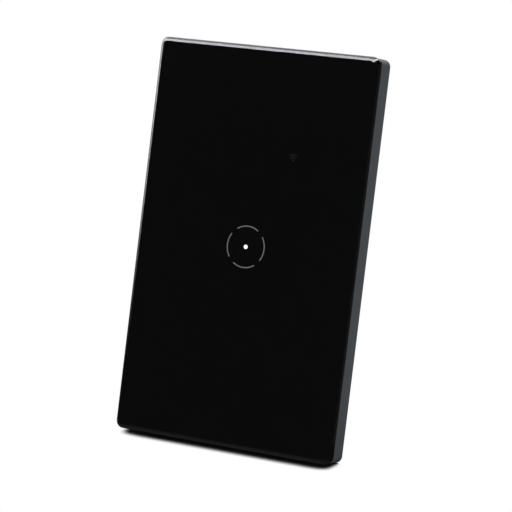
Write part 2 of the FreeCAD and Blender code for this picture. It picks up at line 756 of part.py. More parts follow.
def inner_cover():
    """The cover over the housing's mouth, with tongues inside its walls and a tube for the radio lamp."""
    cover = rounded(COVER_W, COVER_H, COVER_CORNER_R, COVER_FRONT_Y, FLANGE_FRONT_Y)
    tube_z = WIFI_Z + WIFI_INNER_R
    additions = [
        rod(WIFI_TUBE_R + WIFI_TUBE_WALL, FLANGE_FRONT_Y, TOUCH_BOARD_Y - FIT, WIFI_X, tube_z)
    ]
    for x_side in SIDES:
        for z_side in SIDES:
            outer = x_side * (INNER_W / 2 - FIT)
            x0, x1 = sorted((outer, outer - x_side * TONGUE_T))
            z = z_side * TONGUE_Z
            additions.append(
                block(
                    x0,
                    x1,
                    FLANGE_FRONT_Y,
                    FLANGE_FRONT_Y + TONGUE_LENGTH,
                    z - TONGUE_W / 2,
                    z + TONGUE_W / 2,
                )
            )
    hole = rod(GUIDE_HOLE_R, COVER_FRONT_Y, FLANGE_FRONT_Y)
    bore = rod(WIFI_TUBE_R, COVER_FRONT_Y, TOUCH_BOARD_Y, WIFI_X, tube_z)
    return cut(cover.fuse(additions), [hole, bore])


def led_places():
    """The ring's lamps, its middle lamp and the radio symbol's lamp."""
    step = 2 * math.pi / RING_ARCS
    ring = [(RING_R * math.cos(step * n), RING_R * math.sin(step * n)) for n in range(RING_ARCS)]
    return ring + [(0.0, 0.0), (WIFI_X, WIFI_Z + WIFI_INNER_R)]


def light_guide():
    """A milky ring on the board that reaches through the cover and the frame to the print's windows."""
    guide = rod(GUIDE_OUTER_R, GUIDE_FRONT_Y, TOUCH_BOARD_Y)
    flange_y = FLANGE_FRONT_Y + RUN
    flange = rod(GUIDE_FLANGE_R, flange_y, flange_y + GUIDE_FLANGE_T)
    bore = rod(GUIDE_INNER_R, GUIDE_FRONT_Y, TOUCH_BOARD_Y)
    half = LED_L / 2 + RUN
    pockets = [
        block(x - half, x + half, LED_FRONT_Y - RUN, TOUCH_BOARD_Y, z - half, z + half)
        for x, z in led_places()[:RING_ARCS]
    ]
    return cut(guide.fuse(flange), [bore, *pockets])


def spring_path():
    """The spring's centre line: a leg through the board, a bend and turns that climb to the print."""
    start_y = TOUCH_BOARD_Y - SPRING_BEND
    end_y = TAPE_FRONT_Y + RUN / 2 + SPRING_WIRE_R
    rise = (end_y - start_y) / (2 * math.pi * SPRING_TURNS)

    def at(angle):
        return vec(SPRING_R * math.cos(angle), start_y + rise * angle, SPRING_R * math.sin(angle))

    def heading(angle):
        return vec(-SPRING_R * math.sin(angle), rise, SPRING_R * math.cos(angle)).normalize()

    leg_end = vec(SPRING_R, TOUCH_BOARD_REAR_Y + LEAD_STICKOUT, -SPRING_BEND)
    bend = vec(SPRING_R, TOUCH_BOARD_Y, -SPRING_BEND)
    edges = [Part.makeLine(leg_end, bend)]
    edges += biarc(bend, vec(0, -1, 0), at(0), heading(0))
    half_turns = round(2 * SPRING_TURNS)
    for n in range(half_turns):
        a, b = n * math.pi, (n + 1) * math.pi
        edges += biarc(at(a), heading(a), at(b), heading(b))
    return edges, [at(n * math.pi / 18) for n in range(18 * half_turns + 1)]


def least_gap(points, wire_r, apart):
    """The least gap between a wound wire's turns, from points at least apart steps along it."""
    distances = (
        points[i].distanceToPoint(points[j])
        for i in range(len(points))
        for j in range(i + apart, len(points))
    )
    return min(distances) - 2 * wire_r


def touch_spring():
    """One unbroken wire, wound on arcs."""
    edges, points = spring_path()
    print(f"touch_spring least gap between turns {least_gap(points, SPRING_WIRE_R, 18):.2f} mm")
    start = edges[0].valueAt(edges[0].FirstParameter)
    profile = Part.Wire([Part.makeCircle(SPRING_WIRE_R, start, vec(0, -1, 0))])
    return Part.Wire(edges).makePipeShell([profile], True, False)


def touch_board():
    """The control board, on the housing's posts."""
    board = rounded(
        TOUCH_BOARD_W, TOUCH_BOARD_H, INNER_R - BOARD_GAP, TOUCH_BOARD_Y, TOUCH_BOARD_REAR_Y
    )
    span = TOUCH_BOARD_Y, TOUCH_BOARD_REAR_Y
    holes = [rod(BOARD_SCREW_R + FIT, *span, x, z) for x, z in board_screw_places()]
    holes.append(rod(SPRING_WIRE_R + FIT, *span, SPRING_R, -SPRING_BEND))
    notch_x = INNER_W / 2 - TONGUE_T - RUN
    notches = []
    for x_side in SIDES:
        for z_side in SIDES:
            x0, x1 = sorted((x_side * notch_x, x_side * INNER_W / 2))
            z0 = z_side * TONGUE_Z - TONGUE_W / 2 - RUN
            notches.append(block(x0, x1, *span, z0, z0 + TONGUE_W + 2 * RUN))
    return cut(board, holes + notches)


def board_screws():
    """Two screws through the touch board into opposite posts."""
    return group(
        [
            screw(
                BOARD_SCREW_R,
                BOARD_SCREW_HEAD_R,
                BOARD_SCREW_HEAD_T,
                BOARD_SCREW_LENGTH,
                x,
                z,
                TOUCH_BOARD_Y,
            )
            for x, z in board_screw_places()
        ]
    )


def indicator_leds():
    """Small lamps under the ring, its dot and the radio symbol."""
    return group(
        [
            block(x - LED_L / 2, x + LED_L / 2, LED_FRONT_Y, TOUCH_BOARD_Y, z - LED_W / 2, z + LED_W / 2)
            for x, z in led_places()
        ]
    )


def gull_wing_chip(length, width, height, span, legs, x, z, board_y, outward):
    """A chip with two rows of bent legs. outward is -1 on a board's front and 1 on its rear."""

    def layer(low, high):
        return sorted((board_y + outward * low, board_y + outward * high))

    lift = CHIP_LEG_T
    body = block(x - width / 2, x + width / 2, *layer(lift, height), z - length / 2, z + length / 2)
    pieces = []
    shoulder = height / 2
    reach = (span - width) / 2
    for side in SIDES:
        for n in range(legs):
            leg_z = z + (n - (legs - 1) / 2) * CHIP_LEG_PITCH
            z0, z1 = leg_z - CHIP_LEG_W / 2, leg_z + CHIP_LEG_W / 2
            knee = width / 2 + reach / 2
            x0, x1 = sorted((x + side * width / 2, x + side * knee))
            pieces.append(block(x0, x1, *layer(0, shoulder), z0, z1))
            x0, x1 = sorted((x + side * knee, x + side * (width / 2 + reach)))
            pieces.append(block(x0, x1, *layer(0, CHIP_LEG_T), z0, z1))
    return joined(body, pieces)


def touch_chip():
    """The touch controller on the touch board."""
    return gull_wing_chip(
        TOUCH_CHIP_L,
        TOUCH_CHIP_W,
        TOUCH_CHIP_T,
        TOUCH_CHIP_SPAN,
        TOUCH_CHIP_LEGS,
        TOUCH_CHIP_X,
        TOUCH_CHIP_Z,
        TOUCH_BOARD_Y,
        -1,
    )


def wifi_board_z0():
    """The radio board's lower edge, above the lower screws."""
    return -TOUCH_BOARD_H / 2 + WIFI_BOARD_MARGIN


def wifi_board():
    """The radio module's own small board, soldered flat on the touch board."""
    z0 = wifi_board_z0()
    return block(
        -WIFI_BOARD_W / 2,
        WIFI_BOARD_W / 2,
        TOUCH_BOARD_Y - WIFI_BOARD_T,
        TOUCH_BOARD_Y,
        z0,
        z0 + WIFI_BOARD_H,
    )


def wifi_shield():
    """The radio module's tin lid."""
    rear = TOUCH_BOARD_Y - WIFI_BOARD_T
    front = rear - WIFI_SHIELD_T
    z1 = wifi_board_z0() + WIFI_BOARD_H - WIFI_SHIELD_EDGE
    z0 = z1 - WIFI_SHIELD_H
    half, wall = WIFI_SHIELD_W / 2, WIFI_SHIELD_WALL
    lid = block(-half, half, front, rear, z0, z1)
    return cut(lid, [block(-half + wall, half - wall, front + wall, rear, z0 + wall, z1 - wall)])


def header_places():
    """The link's pins, in a row along X."""
    return [(HEADER_X + (n - (HEADER_PINS - 1) / 2) * HEADER_PITCH, HEADER_Z) for n in range(HEADER_PINS)]


def square_pin(size, y0, y1, x, z):
    """A square pin along Y."""
    return block(x - size / 2, x + size / 2, y0, y1, z - size / 2, z + size / 2)


def header_bar(y0, y1, hole):
    """A moulded bar with a square hole for each pin."""
    bar = block(
        HEADER_X - HEADER_LENGTH / 2,
        HEADER_X + HEADER_LENGTH / 2,
        y0,
        y1,
        HEADER_Z - HEADER_WIDTH / 2,
        HEADER_Z + HEADER_WIDTH / 2,
    )
    return bar.cut([square_pin(hole, y0, y1, x, z) for x, z in header_places()])


def header_socket():
    """The socket behind the touch board."""
    return header_bar(
        TOUCH_BOARD_REAR_Y, TOUCH_BOARD_REAR_Y + HEADER_SOCKET_T, HEADER_PIN + 2 * FIT
    )


def header_base():
    """The pins' moulded base on the front of the power board."""
    return header_bar(POWER_BOARD_Y - HEADER_BASE_T, POWER_BOARD_Y, HEADER_PIN)


def header_pins():
    """Square pins from the power board into the socket."""
    y0 = TOUCH_BOARD_REAR_Y + RUN
    y1 = POWER_BOARD_REAR_Y + LEAD_STICKOUT
    return group([square_pin(HEADER_PIN, y0, y1, x, z) for x, z in header_places()])


def relay_pin_places():
    """The relay's five pins: two at the coil, one at the pivot and two at the contacts."""
    near, far = RELAY_Z0 + YOKE_INSET + YOKE_T / 2, CONTACT_Z
    wide = RELAY_W / 2 - RELAY_WALL - RELAY_PIN_W
    return [
        (RELAY_X, near),
        (RELAY_X - wide, near + YOKE_T),
        (RELAY_X + wide, near + YOKE_T),
        (RELAY_X - wide, far),
        (RELAY_X + wide, far),
    ]


def trafo_pin_places():
    """The transformer's pins, in two rows."""
    rows = [TRAFO_Z - TRAFO_BOBBIN_D / 2 + LEAD_W, TRAFO_Z + TRAFO_BOBBIN_D / 2 - LEAD_W]
    columns = [TRAFO_X + (n - (TRAFO_PINS - 1) / 2) * TRAFO_PIN_PITCH for n in range(TRAFO_PINS)]
    return [(x, z) for x in columns for z in rows]


def film_cap_leads():
    """Lead places of the film capacitor."""
    return [(FILM_CAP_X, FILM_CAP_Z + side * (FILM_CAP_L / 2 - LEAD_W)) for side in SIDES]


def elco_leads():
    """Lead places of the electrolytic capacitors."""
    return [(x + side * ELCO_R / 2, ELCO_Z) for x in ELCO_X for side in SIDES]


def varistor_leads():
    """Lead places of the varistor."""
    return [(VARISTOR_X, VARISTOR_Z + side * VARISTOR_R / 2) for side in SIDES]


def fuse_leads():
    """Lead places of the fuse resistor."""
    return [(FUSE_X, FUSE_Z + side * (FUSE_L / 2 - FUSE_CAP_L / 2)) for side in SIDES]


def rectifier_leads():
    """Lead places of the rectifier."""
    reach_x, reach_z = RECTIFIER_L / 2 - LEAD_W, RECTIFIER_W / 2 - LEAD_W
    return [
        (RECTIFIER_X + x_side * reach_x, RECTIFIER_Z + z_side * reach_z)
        for x_side in SIDES
        for z_side in SIDES
    ]


def leads(places, end_y):
    """Wires from a component through the board."""
    return [square_pin(LEAD_W, POWER_BOARD_Y - LEAD_STICKOUT, end_y, x, z) for x, z in places]


def power_board():
    """The mains board, notched round the posts, with a hole for each lead."""
    span = POWER_BOARD_Y, POWER_BOARD_REAR_Y
    half_w, half_h = POWER_BOARD_W / 2, POWER_BOARD_H / 2
    board = block(-half_w, half_w, *span, -half_h, half_h)
    tools = []
    reach = POST_REACH + 2 * RUN
    for x, z in post_places():
        x0, x1 = sorted((x - math.copysign(reach, x), math.copysign(INNER_W / 2, x)))
        z0, z1 = sorted((z - math.copysign(reach, z), math.copysign(INNER_H / 2, z)))
        tools.append(block(x0, x1, *span, z0, z1))
    through = film_cap_leads() + elco_leads() + varistor_leads() + fuse_leads() + rectifier_leads()
    through += trafo_pin_places()
    tools += [square_pin(LEAD_W + 2 * FIT, *span, x, z) for x, z in through]
    tools += [square_pin(RELAY_PIN_W + 2 * FIT, *span, x, z) for x, z in relay_pin_places()]
    tools += [rod(BOARD_SCREW_R + FIT, *span, x, z) for x, z in boss_places()]
    tools += [square_pin(HEADER_PIN + 2 * FIT, *span, x, z) for x, z in header_places()]
    tail = TAIL_W / 2 + FIT
    z0, z1 = TERMINAL_Z1, BAR_Z1 + FIT
    tools += [block(x - tail, x + tail, *span, z0, z1) for x in POLE_X]
    return board.cut(tools)


def power_board_screws():
    """Two screws through the power board into its bosses."""
    return group(
        [
            screw(
                BOARD_SCREW_R,
                BOARD_SCREW_HEAD_R,
                BOARD_SCREW_HEAD_T,
                BOARD_SCREW_LENGTH,
                x,
                z,
                POWER_BOARD_Y,
            )
            for x, z in boss_places()
        ]
    )


def relay_block(half_width, y0, y1, z0, z1):
    """A block on the relay's middle plane."""
    return block(RELAY_X - half_width, RELAY_X + half_width, y0, y1, z0, z1)


def relay_cover():
    """The relay's moulded cap, open towards the board."""
    z0, z1 = RELAY_Z - RELAY_L / 2, RELAY_Z + RELAY_L / 2
    cap = relay_block(RELAY_W / 2, RELAY_SEAT_Y, RELAY_TOP_Y, z0, z1)
    cap = cap.makeChamfer(RELAY_EDGE, edges_at(cap, RELAY_TOP_Y))
    hollow = relay_block(
        RELAY_W / 2 - RELAY_WALL, RELAY_SEAT_Y, RELAY_TOP_Y - RELAY_WALL, RELAY_Z0, RELAY_Z1
    )
    return cut(cap, [hollow])


def relay_base():
    """The relay's base in the mouth of its cap."""
    return relay_block(
        RELAY_W / 2 - RELAY_WALL - FIT, RELAY_SEAT_Y, RELAY_FLOOR_Y, RELAY_Z0 + FIT, RELAY_Z1 - FIT
    )


def relay_pins():
    """Pins from the relay's base through the board."""
    return group(
        [
            square_pin(RELAY_PIN_W, POWER_BOARD_Y - LEAD_STICKOUT, RELAY_SEAT_Y, x, z)
            for x, z in relay_pin_places()
        ]
    )


def relay_yoke():
    """An L of iron round the coil. Its round upper edge is what the armature rocks on."""
    z0, z1 = PIVOT_Z - YOKE_T / 2, PIVOT_Z + YOKE_T / 2
    back = relay_block(YOKE_W / 2, RELAY_FLOOR_Y, PIVOT_Y, z0, z1)
    foot = relay_block(YOKE_W / 2, RELAY_FLOOR_Y, YOKE_FLOOR_Y, z0, COIL_Z + POLE_R)
    edge = rod_x(YOKE_T / 2, RELAY_X - YOKE_W / 2, RELAY_X + YOKE_W / 2, PIVOT_Y, PIVOT_Z)
    return joined(back, [foot, edge])


def bobbin_top_y():
    """The rear face of the bobbin, under the core's pole face."""
    return POLE_TOP_Y - POLE_T


def relay_bobbin():
    """The coil's former: a tube between two flanges."""
    y0, y1 = YOKE_FLOOR_Y, bobbin_top_y()
    former = rod(BOBBIN_TUBE_R, y0, y1, RELAY_X, COIL_Z)
    z0, z1 = COIL_Z - BOBBIN_FLANGE, COIL_Z + BOBBIN_FLANGE
    flanges = [
        relay_block(BOBBIN_FLANGE, y0, y0 + BOBBIN_FLANGE_T, z0, z1),
        relay_block(BOBBIN_FLANGE, y1 - BOBBIN_FLANGE_T, y1, z0, z1),
    ]
    return joined(former, flanges).cut(rod(CORE_R, y0, y1, RELAY_X, COIL_Z))


def relay_coil():
    """The winding, as one closed body between the flanges."""
    y0, y1 = YOKE_FLOOR_Y + BOBBIN_FLANGE_T, bobbin_top_y() - BOBBIN_FLANGE_T
    return rod(COIL_R, y0, y1, RELAY_X, COIL_Z).cut(rod(BOBBIN_TUBE_R, y0, y1, RELAY_X, COIL_Z))


def relay_core():
    """The iron core with its wider pole face."""
    shaft = rod(CORE_R, YOKE_FLOOR_Y, bobbin_top_y(), RELAY_X, COIL_Z)
    return joined(shaft, [rod(POLE_R, bobbin_top_y(), POLE_TOP_Y, RELAY_X, COIL_Z)])


def relay_armature():
    """The iron flap over the pole face, on the yoke's round edge."""
    z0, z1 = PIVOT_Z - YOKE_T / 2, COIL_Z + POLE_R
    return relay_block(YOKE_W / 2, ARMATURE_Y, ARMATURE_Y + ARMATURE_T, z0, z1)


def relay_contact_blade():
    """The spring blade on the armature, with the moving contact at its end."""
    blade = relay_block(
        BLADE_W / 2, BLADE_Y, BLADE_Y + BLADE_T, PIVOT_Z + YOKE_T / 2, CONTACT_Z + CONTACT_R
    )
    return joined(blade, [rod(CONTACT_R, CONTACT_Y, BLADE_Y, RELAY_X, CONTACT_Z)])


def relay_fixed_contact():
    """The fixed contact on its post."""
    top = FIXED_CONTACT_Y - CONTACT_T
    z0, z1 = CONTACT_Z - CONTACT_R, CONTACT_Z + CONTACT_R
    shelf = relay_block(BLADE_W / 2, top - POST_T, top, z0, z1)
    post = relay_block(BLADE_W / 2, RELAY_FLOOR_Y, top, z1 - POST_T, z1)
    return joined(post, [shelf, rod(CONTACT_R, top, FIXED_CONTACT_Y, RELAY_X, CONTACT_Z)])


def trafo_y0():
    """Where the transformer's core begins, above the bobbin's foot."""
    return POWER_BOARD_REAR_Y + TRAFO_STANDOFF


def trafo_window():
    """The core's window: where it starts and ends along Y."""
    return trafo_y0() + TRAFO_YOKE, trafo_y0() + TRAFO_H - TRAFO_YOKE


def transformer_core():
    """Two ferrite E halves, closed into one figure of eight."""
    y0, y1 = trafo_window()
    z0, z1 = TRAFO_Z - TRAFO_D / 2, TRAFO_Z + TRAFO_D / 2
    half, leg = TRAFO_W / 2, TRAFO_CENTRE_LEG / 2
    core = block(TRAFO_X - half, TRAFO_X + half, trafo_y0(), trafo_y0() + TRAFO_H, z0, z1)
    windows = [
        block(*sorted((TRAFO_X + side * leg, TRAFO_X + side * (half - TRAFO_LEG))), y0, y1, z0, z1)
        for side in SIDES
    ]
    return cut(core, windows)


def trafo_sleeve(reach, y0, y1, inner):
    """A rectangular sleeve round the centre leg, with a wall from inner to reach."""
    leg_x, leg_z = TRAFO_CENTRE_LEG / 2, TRAFO_D / 2

    def shell(grow):
        x, z = leg_x + grow, leg_z + grow
        return block(TRAFO_X - x, TRAFO_X + x, y0, y1, TRAFO_Z - z, TRAFO_Z + z)

    return shell(reach).cut(shell(inner))


def trafo_wound():
    """How far the winding reaches from the centre leg, short of the outer legs."""
    return TRAFO_W / 2 - TRAFO_LEG - TRAFO_CENTRE_LEG / 2 - TRAFO_TAPE_GAP


def transformer_bobbin():
    """The former round the centre leg, with two flanges and a foot with pins."""
    y0, y1 = trafo_window()
    sleeve = trafo_sleeve(TRAFO_BOBBIN_T, y0, y1, 0.0)
    flanges = [
        trafo_sleeve(trafo_wound(), y0, y0 + TRAFO_BOBBIN_T, 0.0),
        trafo_sleeve(trafo_wound(), y1 - TRAFO_BOBBIN_T, y1, 0.0),
    ]
    half_z = TRAFO_BOBBIN_D / 2
    feet = []
    for side in SIDES:
        z0, z1 = sorted((TRAFO_Z + side * half_z, TRAFO_Z + side * TRAFO_D / 2))
        half_x = TRAFO_CENTRE_LEG / 2 + trafo_wound()
        feet.append(
            block(TRAFO_X - half_x, TRAFO_X + half_x, POWER_BOARD_REAR_Y, y0 + TRAFO_BOBBIN_T, z0, z1)
        )
    return joined(sleeve, flanges + feet + leads(trafo_pin_places(), POWER_BOARD_REAR_Y))


def transformer_winding():
    """The taped winding, as one closed body between the flanges."""
    y0, y1 = trafo_window()
    return trafo_sleeve(trafo_wound() - FIT, y0 + TRAFO_BOBBIN_T, y1 - TRAFO_BOBBIN_T, TRAFO_BOBBIN_T)


def film_capacitor():
    """A boxed film capacitor."""
    y0 = POWER_BOARD_REAR_Y
    x0, x1 = FILM_CAP_X - FILM_CAP_W / 2, FILM_CAP_X + FILM_CAP_W / 2
    z0, z1 = FILM_CAP_Z - FILM_CAP_L / 2, FILM_CAP_Z + FILM_CAP_L / 2
    body = block(x0, x1, y0, y0 + FILM_CAP_H, z0, z1)
    body = body.makeChamfer(FILM_CAP_EDGE, edges_at(body, y0 + FILM_CAP_H))
    return joined(body, leads(film_cap_leads(), y0))


def electrolytic_capacitors():
    """Two cans with a bevelled rim."""
    cans = []
    y0 = POWER_BOARD_REAR_Y
    for x in ELCO_X:
        can = rod(ELCO_R, y0, y0 + ELCO_H, x, ELCO_Z)
        can = can.makeChamfer(ELCO_RIM, edges_at(can, y0 + ELCO_H))
        own = [(lead_x, z) for lead_x, z in elco_leads() if abs(lead_x - x) < ELCO_R]
        cans.append(joined(can, leads(own, y0)))
    return group(cans)


def varistor():
    """A coated disc on two leads."""
    y = POWER_BOARD_REAR_Y + VARISTOR_LIFT + VARISTOR_R
    disc = rod_x(VARISTOR_R, VARISTOR_X - VARISTOR_T / 2, VARISTOR_X + VARISTOR_T / 2, y, VARISTOR_Z)
    return joined(disc, leads(varistor_leads(), y))


def fuse_resistor():
    """A resistor body with wider ends, lying above the board on its bent leads."""
    y = POWER_BOARD_REAR_Y + FUSE_LIFT + FUSE_CAP_R
    z0, z1 = FUSE_Z - FUSE_L / 2, FUSE_Z + FUSE_L / 2
    body = rod_z(FUSE_R, z0, z1, FUSE_X, y)
    ends = [
        rod_z(FUSE_CAP_R, z0, z0 + FUSE_CAP_L, FUSE_X, y),
        rod_z(FUSE_CAP_R, z1 - FUSE_CAP_L, z1, FUSE_X, y),
    ]
    return joined(body, ends + leads(fuse_leads(), y))


def bridge_rectifier():
    """A small moulded rectifier on four leads."""
    y0 = POWER_BOARD_REAR_Y
    body = block(
        RECTIFIER_X - RECTIFIER_L / 2,
        RECTIFIER_X + RECTIFIER_L / 2,
        y0,
        y0 + RECTIFIER_T,
        RECTIFIER_Z - RECTIFIER_W / 2,
        RECTIFIER_Z + RECTIFIER_W / 2,
    )
    body = body.makeChamfer(RECTIFIER_EDGE, edges_at(body, y0 + RECTIFIER_T))
    return joined(body, leads(rectifier_leads(), y0))


def power_chip():
    """The supply's controller."""
    return gull_wing_chip(
        POWER_CHIP_L,
        POWER_CHIP_W,
        POWER_CHIP_T,
        POWER_CHIP_SPAN,
        POWER_CHIP_LEGS,
        POWER_CHIP_X,
        POWER_CHIP_Z,
        POWER_BOARD_REAR_Y,
        1,
    )


def clamp_half_width():
    """Half the clamp's width, round the bar."""
    return BAR_W / 2 + FIT + CLAMP_SIDE_T


def terminal_body(x):
    """One pole's moulded body: a wire bore below, a clamp cavity and a recess for the screw's head."""
    y0 = POWER_BOARD_REAR_Y
    body = block(x - TERMINAL_W / 2, x + TERMINAL_W / 2, y0, BOX_REAR_Y, TERMINAL_Z0, TERMINAL_Z1)
    half = clamp_half_width() + RUN
    cavity = block(
        x - half, x + half, y0 + TERMINAL_FLOOR, SHOULDER_Y, CLAMP_Z0 - RUN, CLAMP_Z1 + RUN
    )
    bore = rod_z(WIRE_BORE_R, TERMINAL_Z0, CLAMP_Z0, x, WIRE_Y)
    bar_slot = block(
        x - BAR_W / 2 - FIT, x + BAR_W / 2 + FIT, BAR_Y - FIT, BAR_Y + BAR_T + FIT, POLE_Z, TERMINAL_Z1
    )
    neck = rod(CLAMP_SCREW_R + RUN, SHOULDER_Y, SCREW_SEAT_Y, x, POLE_Z)
    recess = rod(CLAMP_SCREW_HEAD_R + RUN, SCREW_SEAT_Y, BOX_REAR_Y, x, POLE_Z)
    return cut(body, [cavity, bore, bar_slot, neck, recess])


def terminal_bar(x):
    """The fixed contact bar through the clamp, with a tail down to the board."""
    bar = block(x - BAR_W / 2, x + BAR_W / 2, BAR_Y, BAR_Y + BAR_T, CLAMP_Z0, BAR_Z1)
    half = TAIL_W / 2
    tail = block(
        x - half, x + half, POWER_BOARD_Y - LEAD_STICKOUT, BAR_Y, TERMINAL_Z1 + FIT, BAR_Z1
    )
    return joined(bar, [tail])


def terminal_bars():
    """The bars of all poles."""
    return group([terminal_bar(x) for x in POLE_X])


def terminal_clamp(x):
    """The square clamp round the bar. Its tapped wall rides on the screw."""
    half = clamp_half_width()
    ring = block(x - half, x + half, JAW_Y, CLAMP_END_Y, CLAMP_Z0, CLAMP_Z1)
    opening = block(
        x - half + CLAMP_SIDE_T,
        x + half - CLAMP_SIDE_T,
        JAW_Y + CLAMP_JAW_T,
        CLAMP_TOP_Y,
        CLAMP_Z0,
        CLAMP_Z1,
    )
    tap = rod(CLAMP_SCREW_R + THREAD_FIT, CLAMP_TOP_Y, CLAMP_END_Y, x, POLE_Z)
    return cut(ring, [opening, tap])


def terminal_screw(x):
    """The clamp's screw, with a slotted head in the body's recess."""
    tip_y = BAR_Y + BAR_T + FIT
    head_end = SCREW_SEAT_Y + CLAMP_SCREW_HEAD_T
    screw = rod(CLAMP_SCREW_R, tip_y, SCREW_SEAT_Y, x, POLE_Z)
    screw = screw.fuse(rod(CLAMP_SCREW_HEAD_R, SCREW_SEAT_Y, head_end, x, POLE_Z))
    half, reach = DRIVER_SLOT_W / 2, CLAMP_SCREW_HEAD_R
    groove = block(
        x - reach, x + reach, head_end - DRIVER_SLOT_DEPTH, head_end, POLE_Z - half, POLE_Z + half
    )
    return cut(screw, [groove])


def parts():
    """Every piece by its node's name."""
    pieces = {
        "glass_panel": glass_panel(),
        "printed_film": printed_film(),
        "glass_tape": glass_tape(),
        "front_frame": front_frame(),
        "mounting_plate": mounting_plate(),
        "plate_screws": plate_screws(),
        "base_housing": base_housing(),
        "inner_cover": inner_cover(),
        "light_guide": light_guide(),
        "touch_spring": touch_spring(),
        "touch_board": touch_board(),
        "board_screws": board_screws(),
        "indicator_leds": indicator_leds(),
        "touch_chip": touch_chip(),
        "wifi_board": wifi_board(),
        "wifi_shield": wifi_shield(),
        "header_socket": header_socket(),
        "header_base": header_base(),
        "header_pins": header_pins(),
        "power_board": power_board(),
        "power_board_screws": power_board_screws(),
        "relay_base": relay_base(),
        "relay_cover": relay_cover(),
        "relay_bobbin": relay_bobbin(),
        "relay_coil": relay_coil(),
        "relay_core": relay_core(),
        "relay_yoke": relay_yoke(),
        "relay_armature": relay_armature(),
        "relay_contact_blade": relay_contact_blade(),
        "relay_fixed_contact": relay_fixed_contact(),
        "relay_pins": relay_pins(),
        "transformer_core": transformer_core(),
        "transformer_bobbin": transformer_bobbin(),
        "transformer_winding": transformer_winding(),
        "film_capacitor": film_capacitor(),
        "electrolytic_capacitors": electrolytic_capacitors(),
        "varistor": varistor(),
        "fuse_resistor": fuse_resistor(),
        "bridge_rectifier": bridge_rectifier(),
        "power_chip": power_chip(),
        "terminal_bars": terminal_bars(),
    }
    for n, x in enumerate(POLE_X, 1):
        pieces[f"terminal_body_{n}"] = terminal_body(x)
        pieces[f"terminal_clamp_{n}"] = terminal_clamp(x)
        pieces[f"terminal_screw_{n}"] = terminal_screw(x)
    return pieces


os.makedirs("parts", exist_ok=True)
for name, shape in parts().items():
    shape.exportStep(f"parts/{name}.step")
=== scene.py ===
"""A smart touch light switch for a wall box, dressed for a picture.

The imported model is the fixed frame: the front faces -Y, Z is up, and the plate's rear face is at y = 0.
The sections follow the switch as it is put together, from the steel plate to the glass, and the studio
comes last.
"""

import math

import bpy
import numpy as np
from mathutils import Matrix, Vector


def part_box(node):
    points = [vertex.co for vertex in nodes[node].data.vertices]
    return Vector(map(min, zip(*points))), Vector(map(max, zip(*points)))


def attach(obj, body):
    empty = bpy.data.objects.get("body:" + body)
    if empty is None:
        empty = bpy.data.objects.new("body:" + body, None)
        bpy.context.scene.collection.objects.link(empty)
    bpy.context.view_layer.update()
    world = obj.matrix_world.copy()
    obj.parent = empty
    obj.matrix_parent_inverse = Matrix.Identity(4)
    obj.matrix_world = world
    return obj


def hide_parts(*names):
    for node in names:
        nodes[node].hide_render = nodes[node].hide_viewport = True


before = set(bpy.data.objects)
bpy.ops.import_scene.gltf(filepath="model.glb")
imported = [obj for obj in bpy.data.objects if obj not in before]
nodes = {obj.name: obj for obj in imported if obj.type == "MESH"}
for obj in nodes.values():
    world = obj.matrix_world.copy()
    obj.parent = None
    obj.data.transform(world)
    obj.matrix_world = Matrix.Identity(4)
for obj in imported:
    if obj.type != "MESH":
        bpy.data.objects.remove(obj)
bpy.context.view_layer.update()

# Mounting plate. Zinc-plated sheet steel, 1.2 mm, blanked and with its four tabs bent forward. Two screws
# in its upright slots pull it against the wall.
MM = 0.001
WORN_EDGE = 0.12 * MM
PATCH_SIZE, STREAK_SIZE, STREAK_RELIEF = 5 * MM, 0.5 * MM, 0.004 * MM
STREAK_GLOSS = 0.08
TINT_FROM, TINT_TO = 0.35, 0.65
GLOSS_FROM, GLOSS_TO = 0.3, 0.7


def finish(name, colour, roughness, metallic=0.0):
    """A new material, and the parts of it that the other functions work on."""
    material = bpy.data.materials.new(name)
    material.use_nodes = True
    tree = material.node_tree
    shader = tree.nodes["Principled BSDF"]
    shader.inputs["Base Color"].default_value = (*colour, 1)
    shader.inputs["Roughness"].default_value = roughness
    shader.inputs["Metallic"].default_value = metallic
    return material, tree, shader


def cloudy(tree, size, detail=3.0, stretch=(1, 1, 1)):
    """A cloudy pattern with patches of a size in metres, drawn out along the axes with a low stretch."""
    place = tree.nodes.new("ShaderNodeTexCoord")
    turn = tree.nodes.new("ShaderNodeMapping")
    turn.inputs["Scale"].default_value = stretch
    noise = tree.nodes.new("ShaderNodeTexNoise")
    noise.inputs["Scale"].default_value = 1 / size
    noise.inputs["Detail"].default_value = detail
    tree.links.new(place.outputs["Object"], turn.inputs["Vector"])
    tree.links.new(turn.outputs["Vector"], noise.inputs["Vector"])
    return noise.outputs["Fac"]


def tinted(tree, shader, pattern, low, high):
    """The base colour goes from low to high over the middle of a pattern."""
    ramp = tree.nodes.new("ShaderNodeValToRGB")
    ramp.color_ramp.elements[0].position = TINT_FROM
    ramp.color_ramp.elements[1].position = TINT_TO
    ramp.color_ramp.elements[0].color = (*low, 1)
    ramp.color_ramp.elements[1].color = (*high, 1)
    tree.links.new(pattern, ramp.inputs["Fac"])
    tree.links.new(ramp.outputs["Color"], shader.inputs["Base Color"])


def glossed(tree, shader, pattern, low, high):
    """The roughness goes from low to high over the middle of a pattern."""
    span = tree.nodes.new("ShaderNodeMapRange")
    span.inputs["From Min"].default_value = GLOSS_FROM
    span.inputs["From Max"].default_value = GLOSS_TO
    span.inputs["To Min"].default_value = low
    span.inputs["To Max"].default_value = high
    tree.links.new(pattern, span.inputs["Value"])
    tree.links.new(span.outputs["Result"], shader.inputs["Roughness"])


